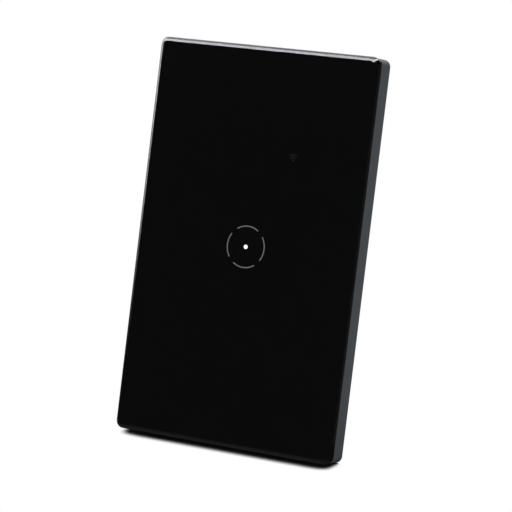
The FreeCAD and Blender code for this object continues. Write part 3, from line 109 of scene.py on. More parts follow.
def grained(tree, shader, pattern, height):
    """A pattern as relief of a height in metres. Sharp edges catch the light as lightly worn ones do."""
    soft = tree.nodes.new("ShaderNodeBevel")
    soft.samples = 4
    soft.inputs["Radius"].default_value = WORN_EDGE
    bump = tree.nodes.new("ShaderNodeBump")
    bump.inputs["Distance"].default_value = height
    tree.links.new(pattern, bump.inputs["Height"])
    tree.links.new(soft.outputs["Normal"], bump.inputs["Normal"])
    tree.links.new(bump.outputs["Normal"], shader.inputs["Normal"])


def coated(material, *names):
    """Gives nodes a material."""
    for name in names:
        mesh = nodes[name].data
        mesh.materials.clear()
        mesh.materials.append(material)


def sheet_metal(name, colour, streak, roughness=0.36, spread=0.14):
    """Plated or bare metal: soft patches of tone, fine streaks drawn out one way and a little relief."""
    material, tree, shader = finish(name, colour, roughness, 1.0)
    patches = cloudy(tree, PATCH_SIZE, 5)
    streaks = cloudy(tree, STREAK_SIZE, 2, streak)
    dull = [c * (1 - spread) for c in colour]
    bright = [min(1, c * 1.1) for c in colour]
    tinted(tree, shader, patches, dull, bright)
    glossed(tree, shader, streaks, roughness - STREAK_GLOSS, roughness + STREAK_GLOSS)
    grained(tree, shader, streaks, STREAK_RELIEF)
    return material


plate_zinc = sheet_metal("plate_zinc", (0.62, 0.63, 0.64), (1, 1, 0.08))
coated(plate_zinc, "mounting_plate")

# Rear housing. White fire-resistant plastic, moulded in one piece with its flange, posts and vents. The
# mould's fine matt finish shows on the outside.
FLOW_SIZE = 9 * MM
GRAIN_GLOSS = 0.06


def moulded(name, colour, roughness, grain=0.16, relief=0.012):
    """Moulded plastic: an even colour with faint flow marks and a fine grain, its size and relief in mm."""
    material, tree, shader = finish(name, colour, roughness)
    flow = cloudy(tree, FLOW_SIZE, 3)
    fine = cloudy(tree, grain * MM, 2)
    tinted(tree, shader, flow, [c * 0.98 for c in colour], [min(1, c * 1.01) for c in colour])
    glossed(tree, shader, fine, roughness - GRAIN_GLOSS, roughness + GRAIN_GLOSS)
    grained(tree, shader, fine, relief * MM)
    return material


housing_plastic = moulded("housing_plastic", (0.78, 0.78, 0.745), 0.52)
coated(housing_plastic, "base_housing")

# Terminals. Three poles moulded in grey fire-resistant plastic. A zinc-plated screw lifts each steel clamp,
# which presses the wire up against a fixed brass bar. A screw's head is given by its radius, height, depth
# of recess and crown, and its shank by radius, length and pitch.
SMOOTH_UNDER = math.radians(32)
SCREW_COLUMNS, HEAD_ROWS, PITCH_ROWS = 60, 26, 5
GROOVE_SHARE, TIP_SHARE = 0.45, 0.35
SLOT_HALF, SLOT_SLOPE = 0.16, 0.03
POLE_X, POLE_Z = (-11 * MM, 0.0, 11 * MM), -29 * MM
POLE_SEAT = 24.4 * MM
POLE_HEAD = (2.5 * MM, 1.6 * MM, 0.8 * MM, 0.15)
POLE_SHANK = (1.5 * MM, 6.1 * MM, 0.5 * MM)


def linked(name, data):
    """A new object, set into the scene."""
    piece = bpy.data.objects.new(name, data)
    bpy.context.scene.collection.objects.link(piece)
    return piece


def skin(name, grids, normals=None, looped=False):
    """Closed skins from grids of points, one or more of the same size. A grid's columns go round and join.
    Its first and last rows are closed with fans to their middles, or join each other where it is looped."""
    grids = np.asarray(grids, float)
    grids = grids.reshape(-1, *grids.shape[-3:])
    count, rows, cols = grids.shape[:3]
    ids = np.arange(count * rows * cols).reshape(count, rows, cols)
    beside = np.roll(ids, -1, axis=2)
    later, beside_later = np.roll(ids, -1, axis=1), np.roll(beside, -1, axis=1)
    last = rows if looped else rows - 1
    quads = np.stack([ids, beside, beside_later, later], -1)[:, :last].reshape(-1, 4)
    triangles = np.concatenate([quads[:, :3], quads[:, [0, 2, 3]]])
    points = grids.reshape(-1, 3)
    faces = quads.tolist()
    if not looped:
        middles = np.stack([grids[:, 0].mean(1), grids[:, -1].mean(1)], 1).reshape(-1, 3)
        hubs = (len(points) + np.arange(2 * count)).reshape(count, 2, 1) + np.zeros((1, 1, cols), int)
        fans = np.concatenate(
            [
                np.stack([beside[:, 0], ids[:, 0], hubs[:, 0]], -1).reshape(-1, 3),
                np.stack([ids[:, -1], beside[:, -1], hubs[:, 1]], -1).reshape(-1, 3),
            ]
        )
        points = np.concatenate([points, middles])
        triangles = np.concatenate([triangles, fans])
        faces += fans.tolist()
    a, b, c = (points[triangles[:, k]] for k in range(3))
    if np.einsum("ij,ij->i", a, np.cross(b, c)).sum() < 0:
        faces = [face[::-1] for face in faces]
    mesh = bpy.data.meshes.new(name)
    mesh.from_pydata(points.tolist(), [], faces)
    mesh.polygons.foreach_set("use_smooth", np.ones(len(faces), bool))
    if normals is None:
        mesh.set_sharp_from_angle(angle=SMOOTH_UNDER)
    else:
        caps = np.stack([normals[0].mean(0), normals[-1].mean(0)])
        facing = np.concatenate([normals.reshape(-1, 3), caps])
        mesh.normals_split_custom_set_from_vertices(facing.tolist())
    return linked(name, mesh)


def placed(piece, body, slot, material, *replaced):
    """Sets a finished piece on its body with its material, and hides the nodes that it stands for.
    The slot is not used.
    """
    piece.data.materials.append(material)
    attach(piece, body)
    if replaced:
        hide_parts(*replaced)


def driver_slot(across, over, reach):
    """A straight slot across a head of a radius: 1 along its floor, and 0 outside it."""
    return np.clip((SLOT_HALF * reach - abs(over)) / (SLOT_SLOPE * reach), 0, 1) + 0 * across


def full_turn(count):
    """The angles of a full turn in equal steps, without its end."""
    return np.linspace(0, 2 * math.pi, count, endpoint=False)


def turned_screw(x, z, seat, facing, head, shank, recess):
    """The grid of a screw turned about its axis. From the middle out the head falls as a low crown does,
    less the recess. Below it the radius follows V-shaped grooves that climb by one pitch in a turn."""
    head_r, head_t, recess_t, crown = head
    shank_r, length, pitch = shank
    turn = full_turn(SCREW_COLUMNS)[None, :]
    share = np.linspace(0.01, 1, HEAD_ROWS)[:, None]
    out = head_r * share + 0 * turn
    rise = head_t * (1 - crown + crown * np.sqrt(1 - share**4))
    rise = rise - recess_t * recess(out * np.cos(turn), out * np.sin(turn), head_r)
    down = np.linspace(0, length, round(PITCH_ROWS * length / pitch))[:, None]
    groove = abs(2 * ((down / pitch - turn / (2 * math.pi)) % 1) - 1)
    taper = np.clip(down / pitch, 0, 1)
    tip = np.clip(1 - (length - down) / pitch, 0, 1)
    thread = shank_r - GROOVE_SHARE * pitch * groove * taper * (1 - tip) - TIP_SHARE * shank_r * tip
    reach = np.concatenate([out, out[-1:], thread])
    height = np.concatenate([rise, 0 * turn, -down + 0 * turn])
    return np.stack([x + reach * np.cos(turn), seat + facing * height, z + reach * np.sin(turn)], -1)


terminal_plastic = moulded("terminal_plastic", (0.16, 0.17, 0.18), 0.5, 0.14, 0.01)
clamp_zinc = sheet_metal("clamp_zinc", (0.6, 0.6, 0.6), (0.1, 1, 1), 0.34)
screw_zinc = sheet_metal("screw_zinc", (0.58, 0.59, 0.6), (1, 0.2, 1), 0.3, 0.1)
bar_brass = sheet_metal("bar_brass", (0.78, 0.58, 0.28), (0.1, 1, 1), 0.3)
coated(bar_brass, "terminal_bars")
for n, x in enumerate(POLE_X, 1):
    coated(terminal_plastic, f"terminal_body_{n}")
    coated(clamp_zinc, f"terminal_clamp_{n}")
    form = turned_screw(x, POLE_Z, POLE_SEAT, 1, POLE_HEAD, POLE_SHANK, driver_slot)
    placed(skin(f"slotted_screw_{n}", form), f"screw_{n}", "screw_steel", screw_zinc, f"terminal_screw_{n}")

# Power board. Glass-fibre laminate with copper lanes under green solder mask. It carries the relay and the
# small supply, and two screws hold it on the housing's bosses.
BOARD_FRONT, BOARD_REAR = 9 * MM, 10.6 * MM
LANE_SIZE, LANE_RELIEF = 7 * MM, 0.03 * MM
BARE_LAMINATE = (0.36, 0.34, 0.16)
TINNED = (0.68, 0.68, 0.66)


def reckoned(tree, operation, *terms):
    """A Math node on terms, each a number or another node's output."""
    node = tree.nodes.new("ShaderNodeMath")
    node.operation = operation
    for socket, term in zip(node.inputs, terms):
        if isinstance(term, (int, float)):
            socket.default_value = term
        else:
            tree.links.new(term, socket)
    return node.outputs[0]


def along(tree, axis, kind="Object"):
    """One number of a place or direction in the piece's own frame, along an axis: 0, 1 or 2."""
    place = tree.nodes.new("ShaderNodeTexCoord")
    parts = tree.nodes.new("ShaderNodeSeparateXYZ")
    tree.links.new(place.outputs[kind], parts.inputs[0])
    return parts.outputs[axis]


def overlaid(tree, mask, colour, roughness, metallic=0.0):
    """Changes a finish to a second one where a mask is 1."""
    for name, value in (("Base Color", (*colour, 1)), ("Roughness", roughness), ("Metallic", metallic)):
        target = tree.nodes["Principled BSDF"].inputs[name]
        mix = tree.nodes.new("ShaderNodeMix")
        low, high, out = mix.inputs[2], mix.inputs[3], mix.outputs[0]
        if name == "Base Color":
            mix.data_type = "RGBA"
            low, high, out = mix.inputs[6], mix.inputs[7], mix.outputs[2]
        if target.is_linked:
            tree.links.new(target.links[0].from_socket, low)
        else:
            low.default_value = target.default_value
        high.default_value = value
        tree.links.new(mask, mix.inputs[0])
        tree.links.new(out, target)


def laminate(name, mask, lane):
    """Printed board. Copper lanes show lighter and a little proud under the mask, and the edge is bare."""
    material, tree, shader = finish(name, mask, 0.28)
    place = tree.nodes.new("ShaderNodeTexCoord")
    turn = tree.nodes.new("ShaderNodeMapping")
    turn.inputs["Rotation"].default_value = (math.radians(-90), 0, 0)
    lanes = tree.nodes.new("ShaderNodeTexBrick")
    lanes.inputs["Scale"].default_value = 1 / LANE_SIZE
    lanes.inputs["Brick Width"].default_value = 1.3
    lanes.inputs["Row Height"].default_value = 0.32
    lanes.inputs["Mortar Size"].default_value = 0.04
    lanes.inputs["Color1"].default_value = (*lane, 1)
    lanes.inputs["Color2"].default_value = (*[c * 0.8 for c in lane], 1)
    lanes.inputs["Mortar"].default_value = (*mask, 1)
    tree.links.new(place.outputs["Object"], turn.inputs["Vector"])
    tree.links.new(turn.outputs["Vector"], lanes.inputs["Vector"])
    tree.links.new(lanes.outputs["Color"], shader.inputs["Base Color"])
    grained(tree, shader, reckoned(tree, "SUBTRACT", 1.0, lanes.outputs["Fac"]), LANE_RELIEF)
    edge = reckoned(tree, "LESS_THAN", reckoned(tree, "ABSOLUTE", along(tree, 1, "Normal")), 0.5)
    overlaid(tree, edge, BARE_LAMINATE, 0.6)
    return material


board_mask = laminate("board_mask", (0.012, 0.085, 0.042), (0.03, 0.17, 0.08))
coated(board_mask, "power_board", "touch_board")


def on_leads(name, colour, roughness, end, grain=0.16):
    """Moulded or dipped body whose leads are tinned wire, in front of a place along Y."""
    material = moulded(name, colour, roughness, grain, 0.008)
    tree = material.node_tree
    leads = reckoned(tree, "LESS_THAN", along(tree, 1), end)
    overlaid(tree, leads, TINNED, 0.3, 1.0)
    return material


coated(on_leads("capacitor_case", (0.72, 0.5, 0.04), 0.34, BOARD_REAR), "film_capacitor")
coated(on_leads("can_sleeve", (0.02, 0.02, 0.03), 0.26, BOARD_REAR), "electrolytic_capacitors")
coated(on_leads("varistor_dip", (0.02, 0.14, 0.4), 0.3, BOARD_REAR + 1.4 * MM, 0.5), "varistor")
coated(on_leads("resistor_lacquer", (0.16, 0.3, 0.24), 0.4, BOARD_REAR + 0.6 * MM), "fuse_resistor")
coated(on_leads("rectifier_epoxy", (0.02, 0.02, 0.022), 0.55, BOARD_REAR), "bridge_rectifier")
coated(on_leads("bobbin_phenolic", (0.022, 0.02, 0.02), 0.5, BOARD_REAR), "transformer_bobbin")


CHIP_HALF, POWER_CHIP_X = 1.95 * MM, 8 * MM


def chip_epoxy(name, middle):
    """Matt black epoxy. Past its sides the legs are tinned."""
    material = moulded(name, (0.02, 0.02, 0.022), 0.6, 0.08, 0.01)
    tree = material.node_tree
    off = reckoned(tree, "ABSOLUTE", reckoned(tree, "SUBTRACT", along(tree, 0), middle))
    legs = reckoned(tree, "GREATER_THAN", off, CHIP_HALF)
    overlaid(tree, legs, TINNED, 0.3, 1.0)
    return material


coated(chip_epoxy("power_chip_epoxy", POWER_CHIP_X), "power_chip")

# Solder. Tin alloy that joins each lead and pin to the board's front, in a bright cone that is hollow
# towards its foot. Leads are given by their width and by their distances in mm from a node's middle.
SOLDER_SPREAD, SOLDER_RISE, SOLDER_HUG, SOLDER_HOLLOW = 0.5 * MM, 0.85 * MM, 0.62, 2.4
CONE_COLUMNS, CONE_ROWS = 16, 7


def solder_cone(x, z, lead, face, facing):
    """The grid of one joint, turned about its lead. The radius falls fast from the foot, then slowly."""
    turn = full_turn(CONE_COLUMNS)[None, :]
    share = np.linspace(0, 1, CONE_ROWS)[:, None]
    reach = SOLDER_HUG * lead + SOLDER_SPREAD * (1 - share) ** SOLDER_HOLLOW
    height = face + facing * SOLDER_RISE * share + 0 * turn
    return np.stack([x + reach * np.cos(turn), height, z + reach * np.sin(turn)], -1)


def middle_of(node):
    """The middle of a node's box, across and up."""
    low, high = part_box(node)
    return (low[0] + high[0]) / 2, (low[2] + high[2]) / 2


def leads_of(node, width, apart_x, apart_z):
    """Leads of a width, at distances from the middle of a node's box."""
    middle_x, middle_z = middle_of(node)
    return [(middle_x + a * MM, middle_z + b * MM, width * MM) for a in apart_x for b in apart_z]


leads = leads_of("film_capacitor", 0.6, [0], [-5.9, 5.9])
leads += leads_of("electrolytic_capacitors", 0.6, [-6.45, -2.45, 2.45, 6.45], [0])
leads += leads_of("varistor", 0.6, [0], [-2.2, 2.2])
leads += leads_of("fuse_resistor", 0.6, [0], [-3.7, 3.7])
leads += leads_of("bridge_rectifier", 0.6, [-3.55, 3.55], [-2.55, 2.55])
leads += leads_of("transformer_bobbin", 0.6, [-3.75, -1.25, 1.25, 3.75], [-4.9, 4.9])
leads += leads_of("relay_pins", 0.9, [-6.05, 6.05], [-5.65, 6.85])
leads += leads_of("relay_pins", 0.9, [0], [-6.85])
leads += leads_of("header_pins", 0.64, [-6.35, -3.81, -1.27, 1.27, 3.81, 6.35], [0])
leads += leads_of("terminal_bars", 1.2, [-11, 0, 11], [4.55])
bright_solder = sheet_metal("bright_solder", (0.72, 0.72, 0.71), (1, 1, 1), 0.24, 0.08)
cones = [solder_cone(x, z, lead, BOARD_FRONT, -1) for x, z, lead in leads]
placed(skin("power_board_solder", cones), "switch_base", "tin", bright_solder)

# Capacitor tops. The cans' bare aluminium shows inside the shrunk sleeve's edge, scored with a cross so
# that it can vent.
CAN_TOP, CAN_PROUD, CAN_SUNK = 23.1 * MM, 0.12 * MM, 0.1 * MM
CAN_BARE_R = 3.05 * MM
SCORE_DEPTH, SCORE_HALF, SCORE_REACH = 0.1 * MM, 0.25 * MM, 0.85
TOP_COLUMNS, TOP_ROWS = 64, 22


def can_top(x, z):
    """The grid of one top, turned about the can. Two crossed grooves are pressed into its face, deepest in
    their middles and rising evenly to both sides."""
    turn = full_turn(TOP_COLUMNS)[None, :]
    out = CAN_BARE_R * np.linspace(0.02, 1, TOP_ROWS)[:, None] + 0 * turn
    near = np.minimum(abs(out * np.cos(turn)), abs(out * np.sin(turn)))
    score = SCORE_DEPTH * np.clip(1 - near / SCORE_HALF, 0, 1) * (out < SCORE_REACH * CAN_BARE_R)
    reach = np.concatenate([out, out[-1:]])
    height = np.concatenate([CAN_TOP + CAN_PROUD - score, 0 * turn + CAN_TOP - CAN_SUNK])
    return np.stack([x + reach * np.cos(turn), height, z + reach * np.sin(turn)], -1)


can_aluminium = sheet_metal("can_aluminium", (0.76, 0.77, 0.78), (1, 1, 1), 0.28, 0.06)
cans = leads_of("electrolytic_capacitors", 0, [-4.45, 4.45], [0])
tops = [can_top(x, z) for x, z, _ in cans]
placed(skin("capacitor_tops", tops), "switch_base", "tin", can_aluminium)

# Transformer. Two ferrite halves close round a former. The winding lies under three wraps of yellow
# polyester tape, which bulge a little over the wire.
TAPE_HALF, TAPE_R = (3.95 * MM, 5.35 * MM), 1.4 * MM
FORMER_HALF, FORMER_R = (2.3 * MM, 3.7 * MM), 0.3 * MM
TAPE_BULGE, TAPE_STEP, TAPE_WRAPS, TAPE_LAP = 0.14 * MM, 0.05 * MM, 3, 0.08
TAPE_ROWS, TAPE_STEPS = 25, 8

ferrite = moulded("ferrite", (0.04, 0.04, 0.045), 0.62, 0.1, 0.02)
coated(ferrite, "transformer_core")


def corner_walk(half_w, half_h, radius, steps):
    """Points round a rounded outline: each has its corner's centre and its outward direction."""
    quarter = np.linspace(0, math.pi / 2, steps + 1)
    angle = np.concatenate([quarter + k * math.pi / 2 for k in range(4)])
    centre_x = np.repeat([1, -1, -1, 1], steps + 1) * (half_w - radius)
    centre_z = np.repeat([1, 1, -1, -1], steps + 1) * (half_h - radius)
    return centre_x, centre_z, np.cos(angle), np.sin(angle)


def wound_ring(name, node, outer, inner, reach_out, reach_in):
    """A winding round a former, as a closed ring between a node's front and rear. Its outer wall's reach is
    given from the front to the rear, and its inner wall is straight."""
    low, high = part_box(node)
    middle_x, middle_z = middle_of(node)
    y = np.concatenate([np.linspace(low[1], high[1], len(reach_out)), [high[1], low[1]]])[:, None]
    reach = np.concatenate([reach_out, [reach_in, reach_in]])[:, None]
    which = np.concatenate([np.ones(len(reach_out)), [0, 0]])[:, None]
    x = which * outer[0] + (1 - which) * inner[0] + reach * outer[2]
    z = which * outer[1] + (1 - which) * inner[1] + reach * outer[3]
    return skin(name, np.stack([middle_x + x, y + 0 * x, middle_z + z], -1), looped=True)


share = np.linspace(0, 1, TAPE_ROWS)
laps = TAPE_STEP * (share * TAPE_WRAPS % 1 < TAPE_LAP)
taped_winding = wound_ring(
    "taped_winding",
    "transformer_winding",
    corner_walk(*TAPE_HALF, TAPE_R, TAPE_STEPS),
    corner_walk(*FORMER_HALF, FORMER_R, TAPE_STEPS),
    TAPE_R - TAPE_BULGE * (1 - np.sin(math.pi * share)) - laps,
    FORMER_R,
)
yellow_tape = moulded("yellow_tape", (0.75, 0.55, 0.05), 0.24, 0.6, 0.03)
placed(taped_winding, "switch_base", "tape_yellow", yellow_tape, "transformer_winding")

# Relay. A sealed blue cap over a black base. Inside, the coil pulls an iron flap that rocks on the yoke's
# edge and closes a pair of contacts. The coil's enamelled wire lies in lanes and rounds off at both ends.
COIL_R, COIL_BORE, COIL_LANES = 4.6 * MM, 2.6 * MM, 26
LANE_DIP, COIL_ROUND = 0.07 * MM, 0.1 * MM
LANE_ROWS, COIL_STEPS = 4, 14

coated(moulded("relay_cap", (0.03, 0.1, 0.42), 0.3, 0.12, 0.006), "relay_cover")
coated(moulded("relay_black", (0.03, 0.03, 0.03), 0.5), "relay_base", "relay_bobbin")
soft_iron = sheet_metal("soft_iron", (0.42, 0.42, 0.43), (1, 0.15, 1), 0.42)
coated(soft_iron, "relay_core", "relay_yoke", "relay_armature")
contact_alloy = sheet_metal("contact_alloy", (0.7, 0.38, 0.2), (1, 1, 0.1), 0.3)
coated(contact_alloy, "relay_contact_blade", "relay_fixed_contact")
coated(sheet_metal("pin_tin", TINNED, (1, 0.1, 1), 0.3), "relay_pins")

share = np.linspace(0, 1, COIL_LANES * LANE_ROWS + 1)
lanes = LANE_DIP * (1 - abs(np.sin(math.pi * COIL_LANES * share))) + COIL_ROUND * (2 * share - 1) ** 8
circle = corner_walk(COIL_R, COIL_R, COIL_R, COIL_STEPS)
relay_winding = wound_ring("relay_winding", "relay_coil", circle, circle, COIL_R - lanes, COIL_BORE)
enamel = sheet_metal("enamelled_wire", (0.62, 0.27, 0.12), (1, 0.05, 1), 0.26, 0.2)
placed(relay_winding, "switch_base", "copper", enamel, "relay_coil")

# Link between the boards. Six gold-flashed square pins stand in a black moulded bar on one board, and plug
# into the socket on the other.
coated(moulded("header_plastic", (0.015, 0.015, 0.015), 0.5), "header_socket", "header_base")
coated(sheet_metal("pin_gold", (0.75, 0.55, 0.22), (1, 0.1, 1), 0.24), "header_pins")

# Touch board. The same laminate as the power board. It carries the touch controller, the lamps and the
# radio module, a small blue board under a tin lid.
TOUCH_CHIP_X, LAMP_WINDOW = -12.5 * MM, 0.45 * MM

coated(laminate("radio_mask", (0.014, 0.035, 0.12), (0.03, 0.075, 0.21)), "wifi_board")
coated(sheet_metal("lid_tin", TINNED, (0.1, 1, 1), 0.26), "wifi_shield")
coated(chip_epoxy("touch_chip_epoxy", TOUCH_CHIP_X), "touch_chip")
lamp_body = moulded("lamp_body", (0.85, 0.85, 0.8), 0.35)
tree = lamp_body.node_tree
overlaid(tree, reckoned(tree, "LESS_THAN", along(tree, 1), LAMP_WINDOW), (0.85, 0.72, 0.28), 0.2)
coated(lamp_body, "indicator_leds")

# Board screws. Two zinc-plated pan-head screws hold each board, with a cross recess and a thread that cuts
# its own way into the plastic.
BOARD_HEAD = (1.8 * MM, 1.2 * MM, 0.75 * MM, 0.5)
BOARD_SHANK = (1.0 * MM, 4.95 * MM, 0.7 * MM)
TOUCH_FRONT = 1 * MM
CROSS_HALF, CROSS_SLOPE = 0.15, 0.05
CROSS_REACH, CROSS_SHOAL = 0.6, 0.35


def cross_recess(across, over, reach):
    """A cross recess in a head of a radius: 1 in the middle of its floor, and shoaling towards its ends."""
    arms = []
    for lengthways, sideways in ((across, over), (over, across)):
        walls = np.clip((CROSS_HALF * reach - abs(sideways)) / (CROSS_SLOPE * reach), 0, 1)
        floor = np.clip((CROSS_REACH - abs(lengthways) / reach) / CROSS_SHOAL, 0, 1)
        arms.append(walls * floor)
    return np.maximum(*arms)


def cross_screws(name, places, seat, head, shank):
    """Pan-head screws driven along +Y, as one piece."""
    return skin(name, [turned_screw(x, z, seat, -1, head, shank, cross_recess) for x, z in places])


touch_corners = [(-16.99 * MM, 31 * MM), (16.99 * MM, -31 * MM)]
boss_places = [(-15.4 * MM, 4.5 * MM), (15.4 * MM, 4.5 * MM)]
touch_screws = cross_screws("touch_board_screws", touch_corners, TOUCH_FRONT, BOARD_HEAD, BOARD_SHANK)
placed(touch_screws, "switch_base", "screw_steel", screw_zinc, "board_screws")
supply_screws = cross_screws("supply_screws", boss_places, BOARD_FRONT, BOARD_HEAD, BOARD_SHANK)
placed(supply_screws, "switch_base", "screw_steel", screw_zinc, "power_board_screws")

# Inner cover. The same white plastic as the housing. It snaps into the housing's mouth and keeps fingers
# off the boards.
coated(housing_plastic, "inner_cover")

# Plate screws. Four short machine screws, zinc-plated, driven from the front through the housing's flange
# into the steel plate.
FLANGE_FRONT, FLANGE_X, FLANGE_Z = -2.5 * MM, 24.79 * MM, 28 * MM
PLATE_HEAD = (2.0 * MM, 1.1 * MM, 0.75 * MM, 0.5)
PLATE_SHANK = (1.25 * MM, 2.4 * MM, 0.45 * MM)
flange_places = [(x, z) for x in (-FLANGE_X, FLANGE_X) for z in (-FLANGE_Z, FLANGE_Z)]
flange_screws = cross_screws("flange_screws", flange_places, FLANGE_FRONT, PLATE_HEAD, PLATE_SHANK)
placed(flange_screws, "switch_base", "screw_steel", screw_zinc, "plate_screws")

# Light guide. Ring of milky plastic, moulded in one piece, that stands on the touch board. It carries the
# lamps' light to the print's windows.
guide_plastic = moulded("guide_plastic", (0.86, 0.87, 0.86), 0.32, 0.3, 0.004)
shader = guide_plastic.node_tree.nodes["Principled BSDF"]
shader.inputs["Subsurface Weight"].default_value = 0.6
shader.inputs["Subsurface Radius"].default_value = (1, 1, 1)
shader.inputs["Subsurface Scale"].default_value = 1.2 * MM
coated(guide_plastic, "light_guide")

# Touch spring. One bright steel wire, wound in two and a half turns. Its leg is soldered through the touch
# board, and its end presses on the back of the print to feel a finger through the glass.
SPRING_R, WIRE_R, SPRING_TURNS = 2.3 * MM, 0.3 * MM, 2.5
SPRING_BEND = 0.75 * MM
LEG_END, COIL_FOOT, COIL_END = 3 * MM, 0.25 * MM, -6.05 * MM
TOUCH_REAR = 2 * MM
BEND_ROWS, COIL_ROWS, WIRE_COLUMNS = 9, 180, 14

bend = np.linspace(0, math.pi / 2, BEND_ROWS)
climb = np.linspace(0, 2 * math.pi * SPRING_TURNS, COIL_ROWS)[1:]
leg_y = np.array([LEG_END, TOUCH_REAR])
wire_y = np.concatenate(
    [
        leg_y,
        COIL_FOOT + SPRING_BEND * (1 - np.sin(bend)),
        COIL_FOOT + (COIL_END - COIL_FOOT) * climb / climb[-1],
    ]
)
wire_x = np.concatenate([0 * leg_y + SPRING_R, 0 * bend + SPRING_R, SPRING_R * np.cos(climb)])
wire_z = np.concatenate([0 * leg_y - SPRING_BEND, -SPRING_BEND * np.cos(bend), SPRING_R * np.sin(climb)])
winding_angle = np.concatenate([0 * leg_y, 0 * bend, climb])


def round_wire(name, points, outward, radius):
    """A round wire: each ring of its skin lies square to the path, and starts on the outward side."""
    heading = np.gradient(points, axis=0)
    heading /= np.linalg.norm(heading, axis=1)[:, None]
    outward = outward - heading * np.einsum("ij,ij->i", outward, heading)[:, None]
    outward /= np.linalg.norm(outward, axis=1)[:, None]
    aside = np.cross(heading, outward)
    turn = full_turn(WIRE_COLUMNS)[None, :, None]
    ring = outward[:, None] * np.cos(turn) + aside[:, None] * np.sin(turn)
    return skin(name, points[:, None] + radius * ring)


wound_spring = round_wire(
    "wound_spring",
    np.stack([wire_x, wire_y, wire_z], -1),
    np.stack([np.cos(winding_angle), 0 * winding_angle, np.sin(winding_angle)], -1),
    WIRE_R,
)
spring_wire = sheet_metal("spring_wire", (0.72, 0.72, 0.7), (1, 1, 1), 0.2, 0.08)
placed(wound_spring, "switch_base", "spring_steel", spring_wire, "touch_spring")
spring_cone = solder_cone(SPRING_R, -SPRING_BEND, 2 * WIRE_R, TOUCH_REAR, 1)
placed(skin("spring_solder", spring_cone), "switch_base", "tin", bright_solder)

# Front frame. A shell of satin grey plastic with a web behind the glass, moulded in one piece with its ribs
# and snap arms. Its side walls reach back to the wall.
frame_plastic = moulded("frame_plastic", (0.066, 0.077, 0.087), 0.46, 0.12, 0.006)
coated(frame_plastic, "front_frame")

# Glass tape. White closed-cell foam with glue on both faces, die-cut to a band. It bonds the glass to the
# frame's web.
tape_foam = moulded("tape_foam", (0.74, 0.74, 0.71), 0.85, 0.22, 0.05)
coated(tape_foam, "glass_tape")

# Black print. Two coats of black ink on the back of the glass, open at the touch ring, its dot and the
# radio symbol. The ink runs on past the film to the rear arris of the glass.
RIM_W, RIM_H, RIM_OUT, RIM_IN = 71.74 * MM, 117.74 * MM, 2.17 * MM, 1.77 * MM
RIM_FRONT, RIM_REAR = -6.66 * MM, -6.642 * MM
OUTLINE_STEPS = 12
PRINT_GRAIN = 0.4 * MM

print_ink, tree, shader = finish("print_ink", (0.003, 0.0032, 0.0032), 0.35)
glossed(tree, shader, cloudy(tree, PRINT_GRAIN), 0.3, 0.42)
shader.inputs["Specular IOR Level"].default_value = 0.0
coated(print_ink, "printed_film")


def carried(profile, centre_x, centre_z, out_x, out_z):
    """The grid of a profile carried round an outline. Each point lies its reach out from the centre of the
    outline's corner, at its own y."""
    reach, y = profile[:, :1], profile[:, 1:]
    return np.stack([centre_x + reach * out_x, y + 0 * out_x, centre_z + reach * out_z], -1)


rim_walk = corner_walk(RIM_W / 2, RIM_H / 2, RIM_OUT, OUTLINE_STEPS)
rim_profile = [(RIM_OUT, RIM_REAR), (RIM_IN, RIM_REAR), (RIM_IN, RIM_FRONT), (RIM_OUT, RIM_FRONT)]
ink_rim = skin("ink_rim", carried(np.array(rim_profile), *rim_walk), looped=True)
placed(ink_rim, "front_panel", "black_print", print_ink)

# Window inks. Milky ink fills the windows in the print, so that the ring, its dot and the radio symbol show
# as even light from the lamps behind. The ring glows faintly, the dot is bright, and the symbol is all but
# dark. Each glow is whole within its first width and gone past its second.
INK_FRONT, INK_REAR = -6.65 * MM, -6.52 * MM
INK_EDGE, INK_GRAIN = 0.004 * MM, 0.8 * MM
RING_R, RING_STROKE, RING_ARC = 6.1 * MM, 0.57 * MM, math.radians(64)
DOT_R = 0.78 * MM
SYMBOL_X, SYMBOL_Z, SYMBOL_STROKE, SYMBOL_ARC = 12 * MM, 26.8 * MM, 0.35 * MM, math.radians(84)
SYMBOL_DOT_R, SYMBOL_RADII = 0.32 * MM, (0.0, 1.0 * MM, 1.75 * MM)
RING_GLOW = (0.1 * MM, 0.21 * MM)
DOT_GLOW = (0.56 * MM, 0.64 * MM)
SYMBOL_GLOW = (0.1 * MM, 0.17 * MM)
SYMBOL_GLOW_IN, SYMBOL_GLOW_LEAST = 0.1 * MM, 0.16 * MM
ROUND_STEPS, ARC_STEPS, DOT_COLUMNS = 9, 33, 40


def ink_arc(name, radius, stroke, middle, span, x=0.0, z=0.0):
    """A flat arc of ink with round ends. Its half width is that of the stroke, and past the ends' centres
    it falls off as a circle's does."""
    half = stroke / 2 - INK_EDGE
    quarter = np.linspace(0, math.pi / 2, ROUND_STEPS)[:-1]
    past = half * np.sin(quarter) / radius
    tips = half * np.cos(quarter)
    steps = np.linspace(-span / 2, span / 2, ARC_STEPS)[1:-1]
    angle = middle + np.concatenate([-span / 2 - past[::-1], steps, span / 2 + past])
    width = np.concatenate([tips[::-1], np.full(len(steps), half), tips])
    reach = radius + np.stack([-width, width, width, -width], 1)
    depth = np.broadcast_to([INK_FRONT, INK_FRONT, INK_REAR, INK_REAR], reach.shape)
    grid = np.stack([x + reach * np.cos(angle)[:, None], depth, z + reach * np.sin(angle)[:, None]], -1)
    return skin(name, grid)


def ink_dot(name, radius, x=0.0, z=0.0):
    """A flat round dot of ink: a circle carried from the front to the rear."""
    angle = full_turn(DOT_COLUMNS)
    reach = radius - INK_EDGE
    rim = np.stack([x + reach * np.cos(angle), 0 * angle, z + reach * np.sin(angle)], -1)
    return skin(name, np.stack([rim + (0, INK_FRONT, 0), rim + (0, INK_REAR, 0)]))


